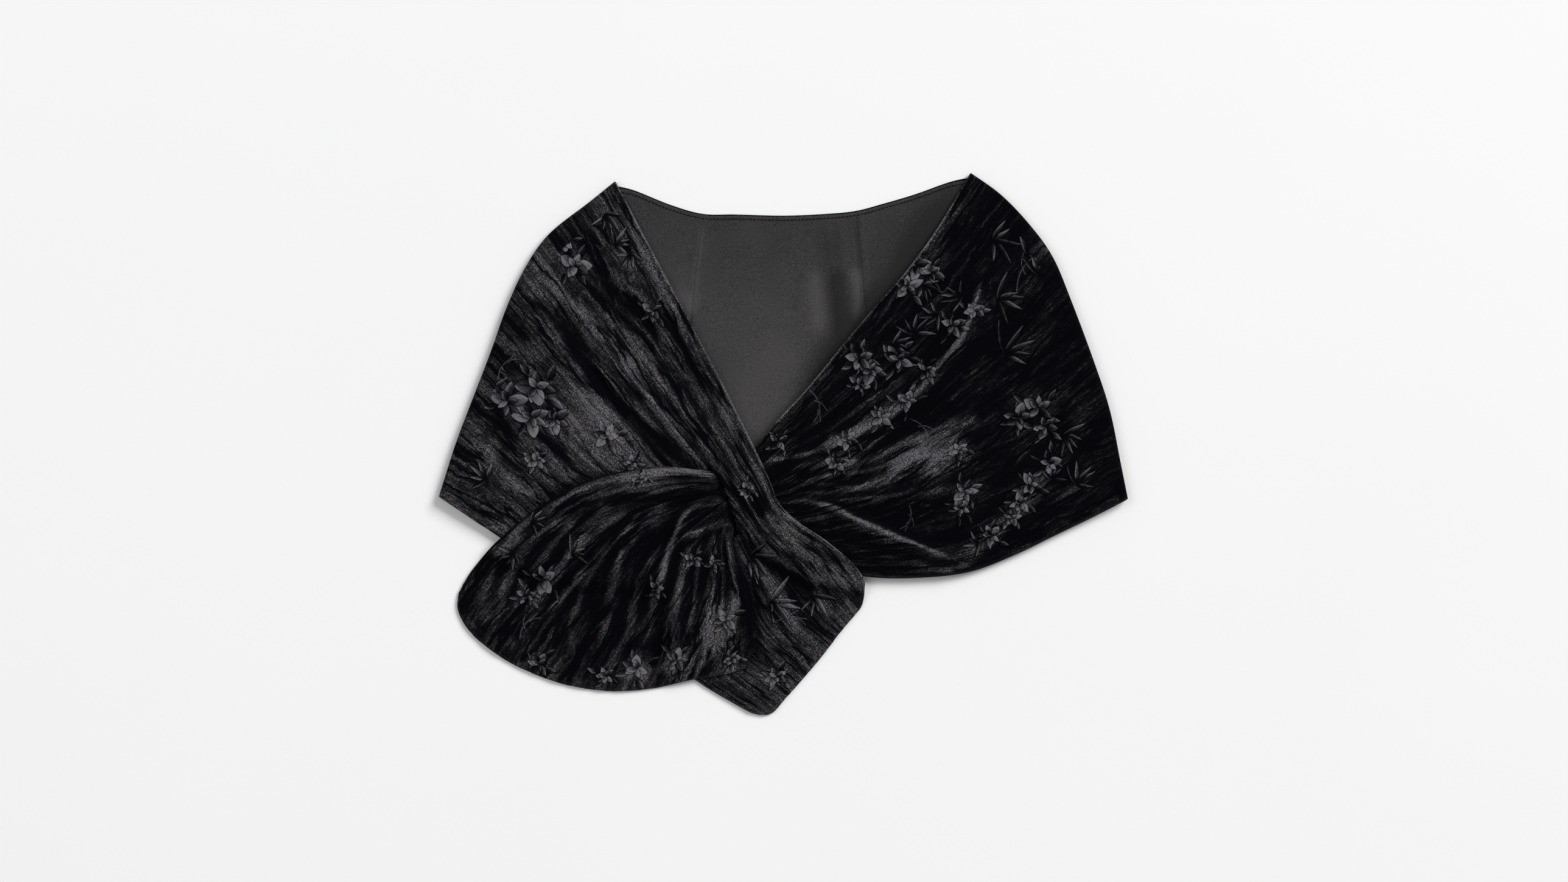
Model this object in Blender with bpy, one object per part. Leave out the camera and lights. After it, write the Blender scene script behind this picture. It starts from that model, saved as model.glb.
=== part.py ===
"""Pull-through shoulder wrap in lined velvet, laid flat on its back.

The back lies face down on the surface with its lining up. Both fronts are
folded over it at the sides. The right front is gathered, passes under a band
of the left front and comes up through a slit beside it. It then fans out over
the left front, and the left front itself runs on into a squared tail.

Sizes are in millimetres, X to the right and Y up as the wrap is looked down
on, Z up from the surface. Meshes are made in metres.
"""
from collections import namedtuple

import bpy
import numpy as np
from mathutils import Vector
from mathutils.bvhtree import BVHTree

MM = 0.001

# Walls and gaps
VELVET_WALL = 2.0
BACK_VELVET_WALL = 1.2
LINING_WALL = 1.0
SEAM_GAP = 0.3
LAYER_GAP = 0.7
BACK_TOP = BACK_VELVET_WALL + SEAM_GAP + LINING_WALL

# Side folds, where the fronts turn over the back
FOLD_RADIUS_NECK = 2.8
FOLD_RADIUS_HEM = 4.6
LIP_NECK = 4.5
LIP_HEM = 12.0
FOLD_STEPS = 7

# Height of a panel's top face where it lies on the back, and where it lies on the surface
FRONT_TOP = 7.0
FLOOR_TOP = 2.3
REST_LIFT = 1.0
BLEND = 0.8
HEM_BLEND = 0.3

# Where the gathered end passes under the band
BUNDLE_RISE = 7.0
BUNDLE_EXTRA_WALL = 3.5

# Height map of what a panel lies on
MAP_STEP = 2.5
MAP_SPREAD = 3
WIDE_SPREAD = 5
MAP_REACH_X = 310.0
MAP_REACH_Y = 250.0
INSIDE_LAST_CELL = 1.001
RAY_CLEARANCE = 1.0

# How finely curves are read, and how a ridge or a gather fades out
CURVE_STEPS = 12
RIDGE_STEPS = 25
RIDGE_START = (-0.02, 0.22)
RIDGE_END = (-0.02, 0.3)
FLANK_POWER = 1.6
TIP_REACH = 2.0
GATHER_FADE = 0.35

Section = namedtuple("Section", "neck_x neck_y hem_x hem_y")
Point = namedtuple("Point", "x y")
Ridge = namedtuple("Ridge", "path height left right")
Gather = namedtuple("Gather", "across width start end height")
Finish = namedtuple("Finish", "colour roughness metallic")

VELVET = Finish((0.022, 0.022, 0.026), 0.6, 0.0)
LINING = Finish((0.047, 0.047, 0.047), 0.85, 0.0)

LEFT_FOLD = [
    Point(-142, 221), Point(-163, 204), Point(-197, 177), Point(-217, 149), Point(-233, 115),
    Point(-247, 76), Point(-262, 37), Point(-276, 0), Point(-290, -44),
]
RIGHT_FOLD = [
    Point(158, 228), Point(183, 210), Point(207, 185), Point(227, 157), Point(243, 119),
    Point(262, 68), Point(275, 28), Point(284, -16), Point(290, -46),
]
BACK_NECK = [
    Point(-125, 213), Point(-95, 201), Point(-68, 193.5), Point(-40, 193), Point(0, 192),
    Point(36, 193.5), Point(61, 196), Point(84, 202), Point(111, 210), Point(139, 220),
]
BACK_HEM = [
    Point(-240, -76), Point(-180, -90), Point(-100, -97), Point(0, -99), Point(100, -98),
    Point(180, -90), Point(240, -67),
]
TAIL_END = [
    Point(68, -121), Point(65, -137), Point(48, -158), Point(31, -180), Point(14, -200),
    Point(-1, -217), Point(-9, -226), Point(-18, -228), Point(-28, -226),
]
PULLED_HEM = [
    Point(-273, -126), Point(-274, -138), Point(-270, -149), Point(-261, -161), Point(-247, -173),
    Point(-230, -184), Point(-211, -193), Point(-189, -201), Point(-165, -206), Point(-138, -208),
    Point(-107, -205), Point(-76, -198), Point(-50, -194), Point(-34, -189),
]

LEFT_SECTIONS = [
    Section(-142, 221, -290, -44), Section(-113, 166, -257, -66), Section(-80, 104, -222, -88),
    Section(-50, 47, -180, -104), Section(-24, -5, -135, -108), Section(-12, -31, -104, -110),
    Section(-4, -50, -84, -118), Section(11, -65, -84, -134), Section(36, -82, -90, -158),
    Section(56, -99, -88, -182), Section(67, -113, -72, -200), Section(68, -121, -28, -226),
]
RIGHT_SECTIONS = [
    Section(158, 228, 290, -46), Section(129, 180, 261, -61), Section(102, 143, 228, -77),
    Section(74, 111, 195, -93), Section(47, 79, 158, -107), Section(20, 46, 120, -112),
    Section(-4, 20, 75, -112), Section(-24, -5, 34, -104), Section(-35, -14, 2, -86),
    Section(-42, -20, -28, -62),
]
PULLED_SECTIONS = [
    Section(-42.3, -20.1, -28.3, -62.1), Section(-54, -24, -39.5, -68), Section(-74, -22, -43, -80),
    Section(-109, -20, -39, -97), Section(-158, -29, -30, -117), Section(-199, -49, -24, -140),
    Section(-239, -81, -22, -158), Section(-262, -107, -24, -172), Section(-273, -126, -34, -189),
]

# The slit in the left front: where it starts and ends, counted in sections, and the share
# of the width at which its line crosses each section
SLIT_START = 3.68
SLIT_END = 5.9
SLIT_LINE = [0.30, 0.29, 0.28, 0.26, 0.25, 0.33, 0.40, 0.43, 0.46, 0.48, 0.50, 0.50]
BAND_SHARE = 0.35

# Folds of the cloth, each along its path, with the width of its flank on either hand
LEFT_RIDGES = [
    Ridge([(-205, 142), (-173, 107), (-134, 62), (-96, 21), (-66, -10)], 3.4, 7, 7),
    Ridge([(-150, 149), (-109, 107), (-77, 56), (-48, 8)], 2.8, 6, 6),
    Ridge([(-195, 130), (-157, 56), (-128, 17), (-98, -8)], -2.0, 5, 5),
    Ridge([(-173, 139), (-122, 91), (-83, 43), (-54, 0)], -1.8, 4, 4),
    Ridge([(-216, 116), (-176, 50), (-144, 6), (-114, -16)], 2.6, 12, 8),
    Ridge([(-128, 178), (-92, 112), (-60, 50), (-38, 10)], 1.8, 5, 5),
    Ridge([(-250, 60), (-215, 10), (-180, -30), (-150, -50)], 2.4, 10, 14),
    Ridge([(-262, 8), (-232, -28), (-200, -58)], 1.8, 9, 9),
    Ridge([(-30, -74), (-4, -85), (27, -100), (52, -110)], 2.4, 7, 5),
    Ridge([(-18, -104), (-2, -136), (12, -172)], 2.2, 8, 8),
    Ridge([(20, -104), (30, -128), (36, -152)], 1.4, 6, 6),
]
RIGHT_RIDGES = [
    Ridge([(-10, -16), (20, -10), (52, 6), (84, 22), (112, 41), (130, 59),
           (148, 85), (161, 112), (170, 146)], 7.0, 7, 14),
    Ridge([(0, -2), (40, 18), (75, 45), (105, 80), (125, 115)], -1.8, 8, 8),
    Ridge([(-6, -30), (30, -20), (65, -14), (100, 0), (135, 12), (170, 30)], 4.2, 8, 9),
    Ridge([(-2, -38), (34, -34), (62, -38), (84, -31), (110, -14), (150, -4)], 3.2, 5, 6),
    Ridge([(10, -46), (45, -47), (80, -46), (120, -42), (176, -34)], 3.0, 6, 6),
    Ridge([(2, -48), (29, -51.5), (58, -63), (84, -72.5), (112, -85), (148, -100)], 6.5, 3.5, 15),
    Ridge([(128, -109), (148, -99), (170, -84), (193, -63), (215, -37), (230, -10)], 3.4, 12, 8),
    Ridge([(66, 52), (122, 92), (185, 124), (228, 130)], 2.2, 14, 14),
    Ridge([(188, 62), (225, 32), (264, 6)], 2.0, 12, 12),
    Ridge([(104, -98), (126, -105), (146, -109)], 1.8, 5, 4),
]
PULLED_RIDGES = [
    Ridge([(-38, -50), (-63, -48), (-76, -54), (-86, -65), (-91, -79), (-96, -92)], 7.0, 12, 3.5),
    Ridge([(-94, -80), (-78, -78), (-66, -73), (-54, -69), (-36, -65)], 5.5, 12, 3),
    Ridge([(-88, -64), (-93, -82), (-100, -102), (-107, -126), (-113, -160)], 4.5, 5, 6),
    Ridge([(-100, -50), (-119, -66), (-142, -82), (-170, -110), (-204, -146)], 4.2, 6, 5),
    Ridge([(-140, -46), (-158, -62), (-176, -86), (-196, -116), (-222, -144)], 3.4, 6, 6),
    Ridge([(-110, -62), (-129, -84), (-141, -108), (-148, -140), (-156, -182)], 3.8, 6, 6),
    Ridge([(-182, -56), (-210, -80), (-228, -106), (-240, -138)], 3.2, 7, 7),
    Ridge([(-214, -74), (-238, -96), (-251, -120), (-256, -146)], 2.2, 6, 6),
    Ridge([(-98, -76), (-111, -98), (-124, -130), (-134, -176)], 2.8, 4, 4),
    Ridge([(-78, -82), (-86, -112), (-91, -142), (-97, -180)], 3.4, 5, 5),
    Ridge([(-62, -76), (-60, -104), (-62, -132), (-68, -178)], 3.2, 4.5, 4.5),
    Ridge([(-48, -72), (-44, -100), (-42, -130), (-46, -172)], 3.0, 5, 5),
]
RIGHT_GATHERS = [
    Gather(0.14, 0.030, 0.50, 1.10, 1.8), Gather(0.30, 0.028, 0.60, 1.10, 2.2),
    Gather(0.45, 0.028, 0.62, 1.10, 2.2), Gather(0.60, 0.028, 0.60, 1.10, 2.0),
    Gather(0.76, 0.030, 0.62, 1.10, 1.8), Gather(0.90, 0.028, 0.60, 1.10, 1.4),
]
BAND_GATHERS = [
    Gather(0.05, 0.022, 0.15, 0.62, 1.6), Gather(0.13, 0.022, 0.22, 0.64, 1.9),
    Gather(0.21, 0.022, 0.20, 0.62, 1.7),
]

# The rolled upper edge of the pulled end, and how far each neck edge stands up
ROLL_RISE = 6.0
ROLL_REACH = 0.14
ROLL_FALL = 0.75
NECK_LIFT_RIGHT = 6.5
NECK_LIFT_LEFT = 2.0
NECK_REACH_RIGHT = 0.10
NECK_REACH_LEFT = 0.06

# Shares of a front's length or width between which something grows or settles
EDGE_REACH = 0.45
EDGE_POWER = 1.6
INWARD_STEP = 0.02
FOLD_GROWS = (0.0, 0.35)
FOLD_SETTLES = (0.0, 0.16)
RIGHT_BUNDLE_RISES = (0.62, 0.96)
RIGHT_WALL_GROWS = (0.8, 1.0)
RIGHT_NECK_RISES = (0.03, 0.35)
RIGHT_NECK_SETTLES = (0.65, 0.92)
RIGHT_RIDGES_FADE = (0.85, 1.0)
RIGHT_RIDGES_LOST = 0.7
LEFT_NECK_RISES = (0.05, 0.2)
LEFT_REACHES_FLOOR = (0.62, 0.92)

# The same for the pulled end, from its root to its hem
PULLED_ROW_POWER = 1.25
ROOT_SETTLES = (0.06, 0.42)
ROOT_WALL_THINS = (0.0, 0.12)
PULLED_REACHES_FLOOR = (0.05, 0.6)
ROLL_STARTS = (0.06, 0.2)
ROLL_FADES = (0.55, 1.0)
PLEATS_START = (0.08, 0.2)
ROOT_BLEND_ROWS = 3

# Left and right seams of the back lining, from the neck edge to the hem
LINING_SEAMS = [
    [Point(-68, 194), Point(-78, 107), Point(-84, 0), Point(-88, -98)],
    [Point(61, 196), Point(69, 111), Point(77, 0), Point(86, -98)],
]
LINING_INSET = 1.2

# How far an edge point of the back keeps from the corners of its panels
CORNER_GAP = 1.0

# How many steps each panel is built from
BAND_COLUMNS = 10
HEM_COLUMNS = 21
RIGHT_COLUMNS = 38
RIGHT_ROWS = 27
PULLED_COLUMNS = 46
PULLED_ROWS = 26
ROOT_ROWS = 5
LEFT_ROWS = (10, 10, 12)
FIRST_ROW = 0.03
BACK_STEPS = 30
SEAM_STEPS = 12


def smooth_step(value, low, high):
    """A ramp from 0 at low to 1 at high, level at both ends."""
    share = np.clip((np.asarray(value, float) - low) / (high - low), 0.0, 1.0)
    return share * share * (3.0 - 2.0 * share)


def curve_through(points, where):
    """A smooth curve through points. where counts them: 0 at the first, 1 at the second."""
    rows = np.array(points, float)
    where = np.clip(np.asarray(where, float), 0.0, len(rows) - 1.0)
    at = np.minimum(where.astype(int), len(rows) - 2)
    share = (where - at)[..., None]
    before = rows[np.maximum(at - 1, 0)]
    start = rows[at]
    end = rows[at + 1]
    after = rows[np.minimum(at + 2, len(rows) - 1)]
    slope_in = (end - before) / 2.0
    slope_out = (after - start) / 2.0
    square, cube = share**2, share**3
    return (
        (2 * cube - 3 * square + 1) * start
        + (cube - 2 * square + share) * slope_in
        + (3 * square - 2 * cube) * end
        + (cube - square) * slope_out
    )


def curve_by_length(points, share):
    """The point at a share of the length of a smooth curve through points."""
    counts = np.linspace(0.0, len(points) - 1.0, CURVE_STEPS * len(points))
    dense = curve_through(points, counts)
    lengths = np.concatenate([[0.0], np.cumsum(np.linalg.norm(np.diff(dense, axis=0), axis=1))])
    return curve_through(points, np.interp(np.asarray(share) * lengths[-1], lengths, counts))


def ridge_height(ridge, x, y):
    """How far a ridge lifts the cloth at x, y. Its two flanks may differ in width."""
    path = curve_by_length(ridge.path, np.linspace(0.0, 1.0, RIDGE_STEPS))
    along = np.gradient(path, axis=0)
    along /= np.linalg.norm(along, axis=1)[:, None]
    off_x = np.asarray(x)[..., None] - path[:, 0]
    off_y = np.asarray(y)[..., None] - path[:, 1]
    nearest = np.argmin(off_x**2 + off_y**2, axis=-1)
    pick = nearest[..., None]
    near_x = np.take_along_axis(off_x, pick, -1)[..., 0]
    near_y = np.take_along_axis(off_y, pick, -1)[..., 0]
    side = along[nearest, 0] * near_y - along[nearest, 1] * near_x
    ahead = along[nearest, 0] * near_x + along[nearest, 1] * near_y
    width = np.where(side > 0, ridge.left, ridge.right)
    share = nearest / (len(path) - 1.0)
    fade = smooth_step(share, *RIDGE_START) * smooth_step(1.0 - share, *RIDGE_END)
    fall = np.exp(-np.abs(side / width) ** FLANK_POWER) * np.exp(-((ahead / (TIP_REACH * width)) ** 2))
    return ridge.height * fade * fall


def gather_height(gather, along, across):
    """How far a gather, which runs the way the panel does, lifts the cloth."""
    fall = np.exp(-(((across - gather.across) / gather.width) ** 2))
    tip = (gather.end - gather.start) * GATHER_FADE
    fade = smooth_step(along, gather.start, gather.start + tip)
    fade = fade * (1.0 - smooth_step(along, gather.end - tip, gather.end))
    return gather.height * fall * fade


def clear_scene():
    """Removes every object."""
    for thing in list(bpy.data.objects):
        bpy.data.objects.remove(thing, do_unlink=True)


def cloth_material(name, finish):
    """A plain material in a finish's colour."""
    material = bpy.data.materials.new(name)
    material.use_nodes = True
    shader = material.node_tree.nodes["Principled BSDF"]
    shader.inputs["Base Color"].default_value = (*finish.colour, 1.0)
    shader.inputs["Roughness"].default_value = finish.roughness
    shader.inputs["Metallic"].default_value = finish.metallic
    return material


def add_object(name, points, faces, material):
    """One named object from points in millimetres."""
    mesh = bpy.data.meshes.new(name)
    mesh.from_pydata((np.array(points) * MM).tolist(), [], [list(f) for f in faces])
    mesh.validate()
    mesh.shade_smooth()
    mesh.materials.append(material)
    thing = bpy.data.objects.new(name, mesh)
    bpy.context.scene.collection.objects.link(thing)
    return thing


class HeightMap:
    """The highest top face of some surfaces, as a grid of heights in millimetres.

    Every high place is widened by some cells, then rounded off over the same reach.
    """

    def __init__(self, surfaces, cells=MAP_SPREAD):
        self.x = np.arange(-MAP_REACH_X, MAP_REACH_X + 1, MAP_STEP)
        self.y = np.arange(-MAP_REACH_Y, MAP_REACH_Y + 1, MAP_STEP)
        self.heights = np.zeros((len(self.x), len(self.y)))
        for points, faces in surfaces:
            self.add(points, faces)
        for pick in [np.max] * cells + [np.mean] * cells:
            self.heights = self.near(pick)

    def add(self, points, faces):
        """Raises the map to the first face met on the way down."""
        tree = BVHTree.FromPolygons([Vector(p) for p in points], faces)
        down = Vector((0, 0, -1))
        low, high = np.min(points, axis=0), np.max(points, axis=0)
        for i in np.nonzero((self.x >= low[0]) & (self.x <= high[0]))[0]:
            for j in np.nonzero((self.y >= low[1]) & (self.y <= high[1]))[0]:
                hit = tree.ray_cast(Vector((self.x[i], self.y[j], high[2] + RAY_CLEARANCE)), down)[0]
                if hit is not None:
                    self.heights[i, j] = max(self.heights[i, j], hit.z)

    def near(self, pick):
        """The highest or the mean, as pick says, of each height and the eight beside it."""
        wide, tall = self.heights.shape
        padded = np.pad(self.heights, 1, mode="edge")
        return pick([padded[i:i + wide, j:j + tall] for i in range(3) for j in range(3)], axis=0)

    def at(self, x, y):
        """The height under x, y."""
        across = np.clip((np.asarray(x) + MAP_REACH_X) / MAP_STEP, 0, len(self.x) - INSIDE_LAST_CELL)
        up = np.clip((np.asarray(y) + MAP_REACH_Y) / MAP_STEP, 0, len(self.y) - INSIDE_LAST_CELL)
        i, j = across.astype(int), up.astype(int)
        a, b = across - i, up - j
        h = self.heights
        return (
            h[i, j] * (1 - a) * (1 - b) + h[i + 1, j] * a * (1 - b)
            + h[i, j + 1] * (1 - a) * b + h[i + 1, j + 1] * a * b
        )


class Strip:
    """A panel as a strip of sections, each running from its neck edge to its hem edge."""

    def __init__(self, sections, start_edge=None, end_edge=None, reach=EDGE_REACH):
        self.sections = np.array(sections, float)
        self.count = len(sections) - 1
        self.start_edge = start_edge
        self.end_edge = end_edge
        self.reach = reach

    def plan(self, along, across):
        """The x, y of the cloth at a share along the strip and a share across it."""
        along, across = np.broadcast_arrays(np.asarray(along, float), np.asarray(across, float))
        row = curve_through(self.sections, along * self.count)
        spot = row[..., :2] * (1 - across[..., None]) + row[..., 2:] * across[..., None]
        edges = ((self.start_edge, 0, along), (self.end_edge, -1, 1 - along))
        for edge, index, away in edges:
            if edge is None:
                continue
            ends = self.sections[index]
            chord = ends[:2] * (1 - across[..., None]) + ends[2:] * across[..., None]
            bulge = curve_by_length(edge, across) - chord
            spot = spot + bulge * (np.clip(1 - away / self.reach, 0, 1) ** EDGE_POWER)[..., None]
        return spot

    def inward(self, across):
        """The direction into the panel at its start edge."""
        step = self.plan(INWARD_STEP, across) - self.plan(0.0, across)
        return step / np.linalg.norm(step, axis=-1)[..., None]


def fold_sizes(across):
    """Radius of the side fold and width of the lip under it, from neck to hem."""
    share = smooth_step(across, *FOLD_GROWS)
    radius = FOLD_RADIUS_NECK + (FOLD_RADIUS_HEM - FOLD_RADIUS_NECK) * share
    lip = LIP_NECK + (LIP_HEM - LIP_NECK) * share
    return radius, lip


def back_side(strip, across):
    """The seam between a front's lip and the back, as the back's side edge."""
    lip = fold_sizes(across)[1]
    return strip.plan(0.0, across) + strip.inward(across) * (lip + SEAM_GAP)[:, None]


def side_fold(strip, across):
    """Outer and inner points of a front's lip and side fold, from the seam round to the top."""
    start = strip.plan(0.0, across)
    inward = strip.inward(across)
    radius, lip = fold_sizes(across)
    inside = radius - VELVET_WALL
    outer = [np.column_stack([start + inward * lip[:, None], 0 * lip])]
    inner = [np.column_stack([start + inward * lip[:, None], 0 * lip + VELVET_WALL])]
    for turn in np.linspace(-np.pi / 2, np.pi / 2, FOLD_STEPS):
        for points, reach in ((outer, radius), (inner, inside)):
            away = radius - reach * np.cos(turn)
            height = radius + reach * np.sin(turn)
            points.append(np.column_stack([start + inward * away[:, None], height]))
    return np.array(outer), np.array(inner)


def lens(share):
    """The round height of a gathered bundle across its width, 0 at both edges and 1 between."""
    return np.sqrt(np.clip(1.0 - (2.0 * np.clip(share, 0, 1) - 1.0) ** 2, 0.0, 1.0))


def ridge_relief(ridges, spots):
    """The height of all ridges together."""
    return sum(ridge_height(ridge, spots[..., 0], spots[..., 1]) for ridge in ridges)


def lay(spots, base, relief, support, extra_wall=0.0):
    """Upper and lower points of a panel laid on what the height map holds, its folds on top."""
    under = support.at(spots[..., 0], spots[..., 1])
    lowest = under + LAYER_GAP + VELVET_WALL
    settled = (base + lowest + np.hypot(base - lowest, BLEND)) / 2.0
    tops = np.maximum(settled + relief, lowest)
    lows = np.maximum(tops - VELVET_WALL - extra_wall, under + SEAM_GAP)
    lows = np.where((under < SEAM_GAP) & (lows < REST_LIFT), 0.0, lows)
    upper = np.concatenate([spots, tops[..., None]], axis=-1)
    lower = np.concatenate([spots, lows[..., None]], axis=-1)
    return upper, lower


def fold_tops(along, across):
    """Base height of a front: the top of its side fold, settling to where it lies on the back."""
    radius = fold_sizes(across)[0]
    return FRONT_TOP + (2.0 * radius - FRONT_TOP) * (1.0 - smooth_step(along, *FOLD_SETTLES))


def grid_surface(points):
    """A grid of points as the points and faces of an open surface."""
    rows, columns = points.shape[:2]
    numbers = np.arange(rows * columns).reshape(rows, columns)
    corners = (numbers[:-1, :-1], numbers[:-1, 1:], numbers[1:, 1:], numbers[1:, :-1])
    faces = np.stack([corner.ravel() for corner in corners], axis=-1).tolist()
    return points.reshape(-1, 3).tolist(), faces


class SheetMesh:
    """A wall under construction: upper and lower points in step, and the quads between them."""

    def __init__(self):
        self.upper = []
        self.lower = []
        self.quads = []

    def add_grid(self, upper, lower):
        """Adds a grid of points and returns their numbers as a grid."""
        first = len(self.upper)
        self.upper.extend(upper.reshape(-1, 3).tolist())
        self.lower.extend(lower.reshape(-1, 3).tolist())
        return first + np.arange(upper.shape[0] * upper.shape[1]).reshape(upper.shape[:2])

    def add_quads(self, numbers):
        """Adds the quads of a grid of point numbers."""
        for i in range(numbers.shape[0] - 1):
            for j in range(numbers.shape[1] - 1):
                a, b = numbers[i, j], numbers[i, j + 1]
                c, d = numbers[i + 1, j + 1], numbers[i + 1, j]
                self.quads.append((int(a), int(b), int(c), int(d)))

    def solid(self):
        """Points and faces of the closed wall: both sides and the rim all round."""
        offset = len(self.upper)
        faces, edges = [], set()
        for quad in self.quads:
            faces.append(quad)
            faces.append(tuple(i + offset for i in reversed(quad)))
            edges.update(zip(quad, quad[1:] + quad[:1]))
        for a, b in sorted(edges):
            if (b, a) not in edges:
                faces.append((b, a, a + offset, b + offset))
        used = sorted({i for face in faces for i in face})
        place = {old: new for new, old in enumerate(used)}
        points = self.upper + self.lower
        return [points[i] for i in used], [tuple(place[i] for i in face) for face in faces]


def plate(outline, low, high):
    """Points and faces of a flat piece between two heights."""
    count = len(outline)
    points = [(x, y, low) for x, y in outline] + [(x, y, high) for x, y in outline]
    faces = [tuple(reversed(range(count))), tuple(range(count, 2 * count))]
    for i in range(count):
        j = (i + 1) % count
        faces.append((i, j, j + count, i + count))
    return points, faces


def right_front(strip, support):
    """The right front, from its side fold to its gathered end, and its upper points."""
    across =np.linspace(0.0, 1.0, RIGHT_COLUMNS + 1)[None, :]
    along = np.linspace(FIRST_ROW, 1.0, RIGHT_ROWS + 1)[:, None]
    spots = strip.plan(along, across)
    bundle = BUNDLE_RISE * lens(across) * smooth_step(along, *RIGHT_BUNDLE_RISES)
    edge = NECK_LIFT_RIGHT * np.exp(-((across / NECK_REACH_RIGHT) ** 2))
    edge = edge * smooth_step(along, *RIGHT_NECK_RISES)
    edge = edge * (1.0 - smooth_step(along, *RIGHT_NECK_SETTLES))
    relief = ridge_relief(RIGHT_RIDGES, spots)
    relief = relief * (1.0 - RIGHT_RIDGES_LOST * smooth_step(along, *RIGHT_RIDGES_FADE))
    relief = relief + sum(gather_height(gather, along, across) for gather in RIGHT_GATHERS)
    extra = BUNDLE_EXTRA_WALL * lens(across) * smooth_step(along, *RIGHT_WALL_GROWS)
    upper, lower = lay(spots, fold_tops(along, across) + edge + bundle, relief, support, extra)
    outer, inner = side_fold(strip, across[0])
    sheet = SheetMesh()
    grid = sheet.add_grid(np.concatenate([outer, upper]), np.concatenate([inner, lower]))
    sheet.add_quads(grid[:, ::-1])
    return sheet.solid(), upper


class PulledEnd:
    """The pulled end: a packed root under the band, then a rolled edge and fanned pleats."""

    def __init__(self):
        strip = Strip(PULLED_SECTIONS, None, PULLED_HEM, 1.0)
        self.across = np.linspace(0.0, 1.0, PULLED_COLUMNS + 1)[None, :]
        self.along = np.linspace(0.0, 1.0, PULLED_ROWS + 1)[:, None] ** PULLED_ROW_POWER
        self.spots = strip.plan(self.along, self.across)

    def faces(self, support):
        """Upper and lower points, laid over a height map."""
        along, across = self.along, self.across
        root = BUNDLE_RISE * lens(across) * (1.0 - smooth_step(along, *ROOT_SETTLES))
        drop = (FRONT_TOP - FLOOR_TOP) * smooth_step(along, *PULLED_REACHES_FLOOR)
        base = FRONT_TOP - drop + root
        where = across / ROLL_REACH
        roll = np.sqrt(np.clip(where * (2.0 - where), 0.0, 1.0)) * (where < 1.0)
        roll = roll + (where >= 1.0) * np.exp(-(((where - 1.0) / ROLL_FALL) ** 2))
        roll = ROLL_RISE * roll * smooth_step(along, *ROLL_STARTS) * (1.0 - smooth_step(along, *ROLL_FADES))
        relief = ridge_relief(PULLED_RIDGES, self.spots) * smooth_step(along, *PLEATS_START)
        extra = BUNDLE_EXTRA_WALL * lens(across) * (1.0 - smooth_step(along, *ROOT_WALL_THINS))
        return lay(self.spots, base, relief + roll, support, extra)

    def build(self, at_root, beyond):
        """The solid: its root laid over one map, all that is past the band over another."""
        under_band = self.faces(at_root)
        past_band = self.faces(beyond)
        rows = np.arange(PULLED_ROWS + 1)
        share = smooth_step(rows, ROOT_ROWS, ROOT_ROWS + ROOT_BLEND_ROWS)[:, None, None]
        upper, lower = (a + (b - a) * share for a, b in zip(under_band, past_band))
        sheet = SheetMesh()
        grid = sheet.add_grid(upper, lower)
        sheet.add_quads(grid[:, ::-1])
        return sheet.solid()


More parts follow.
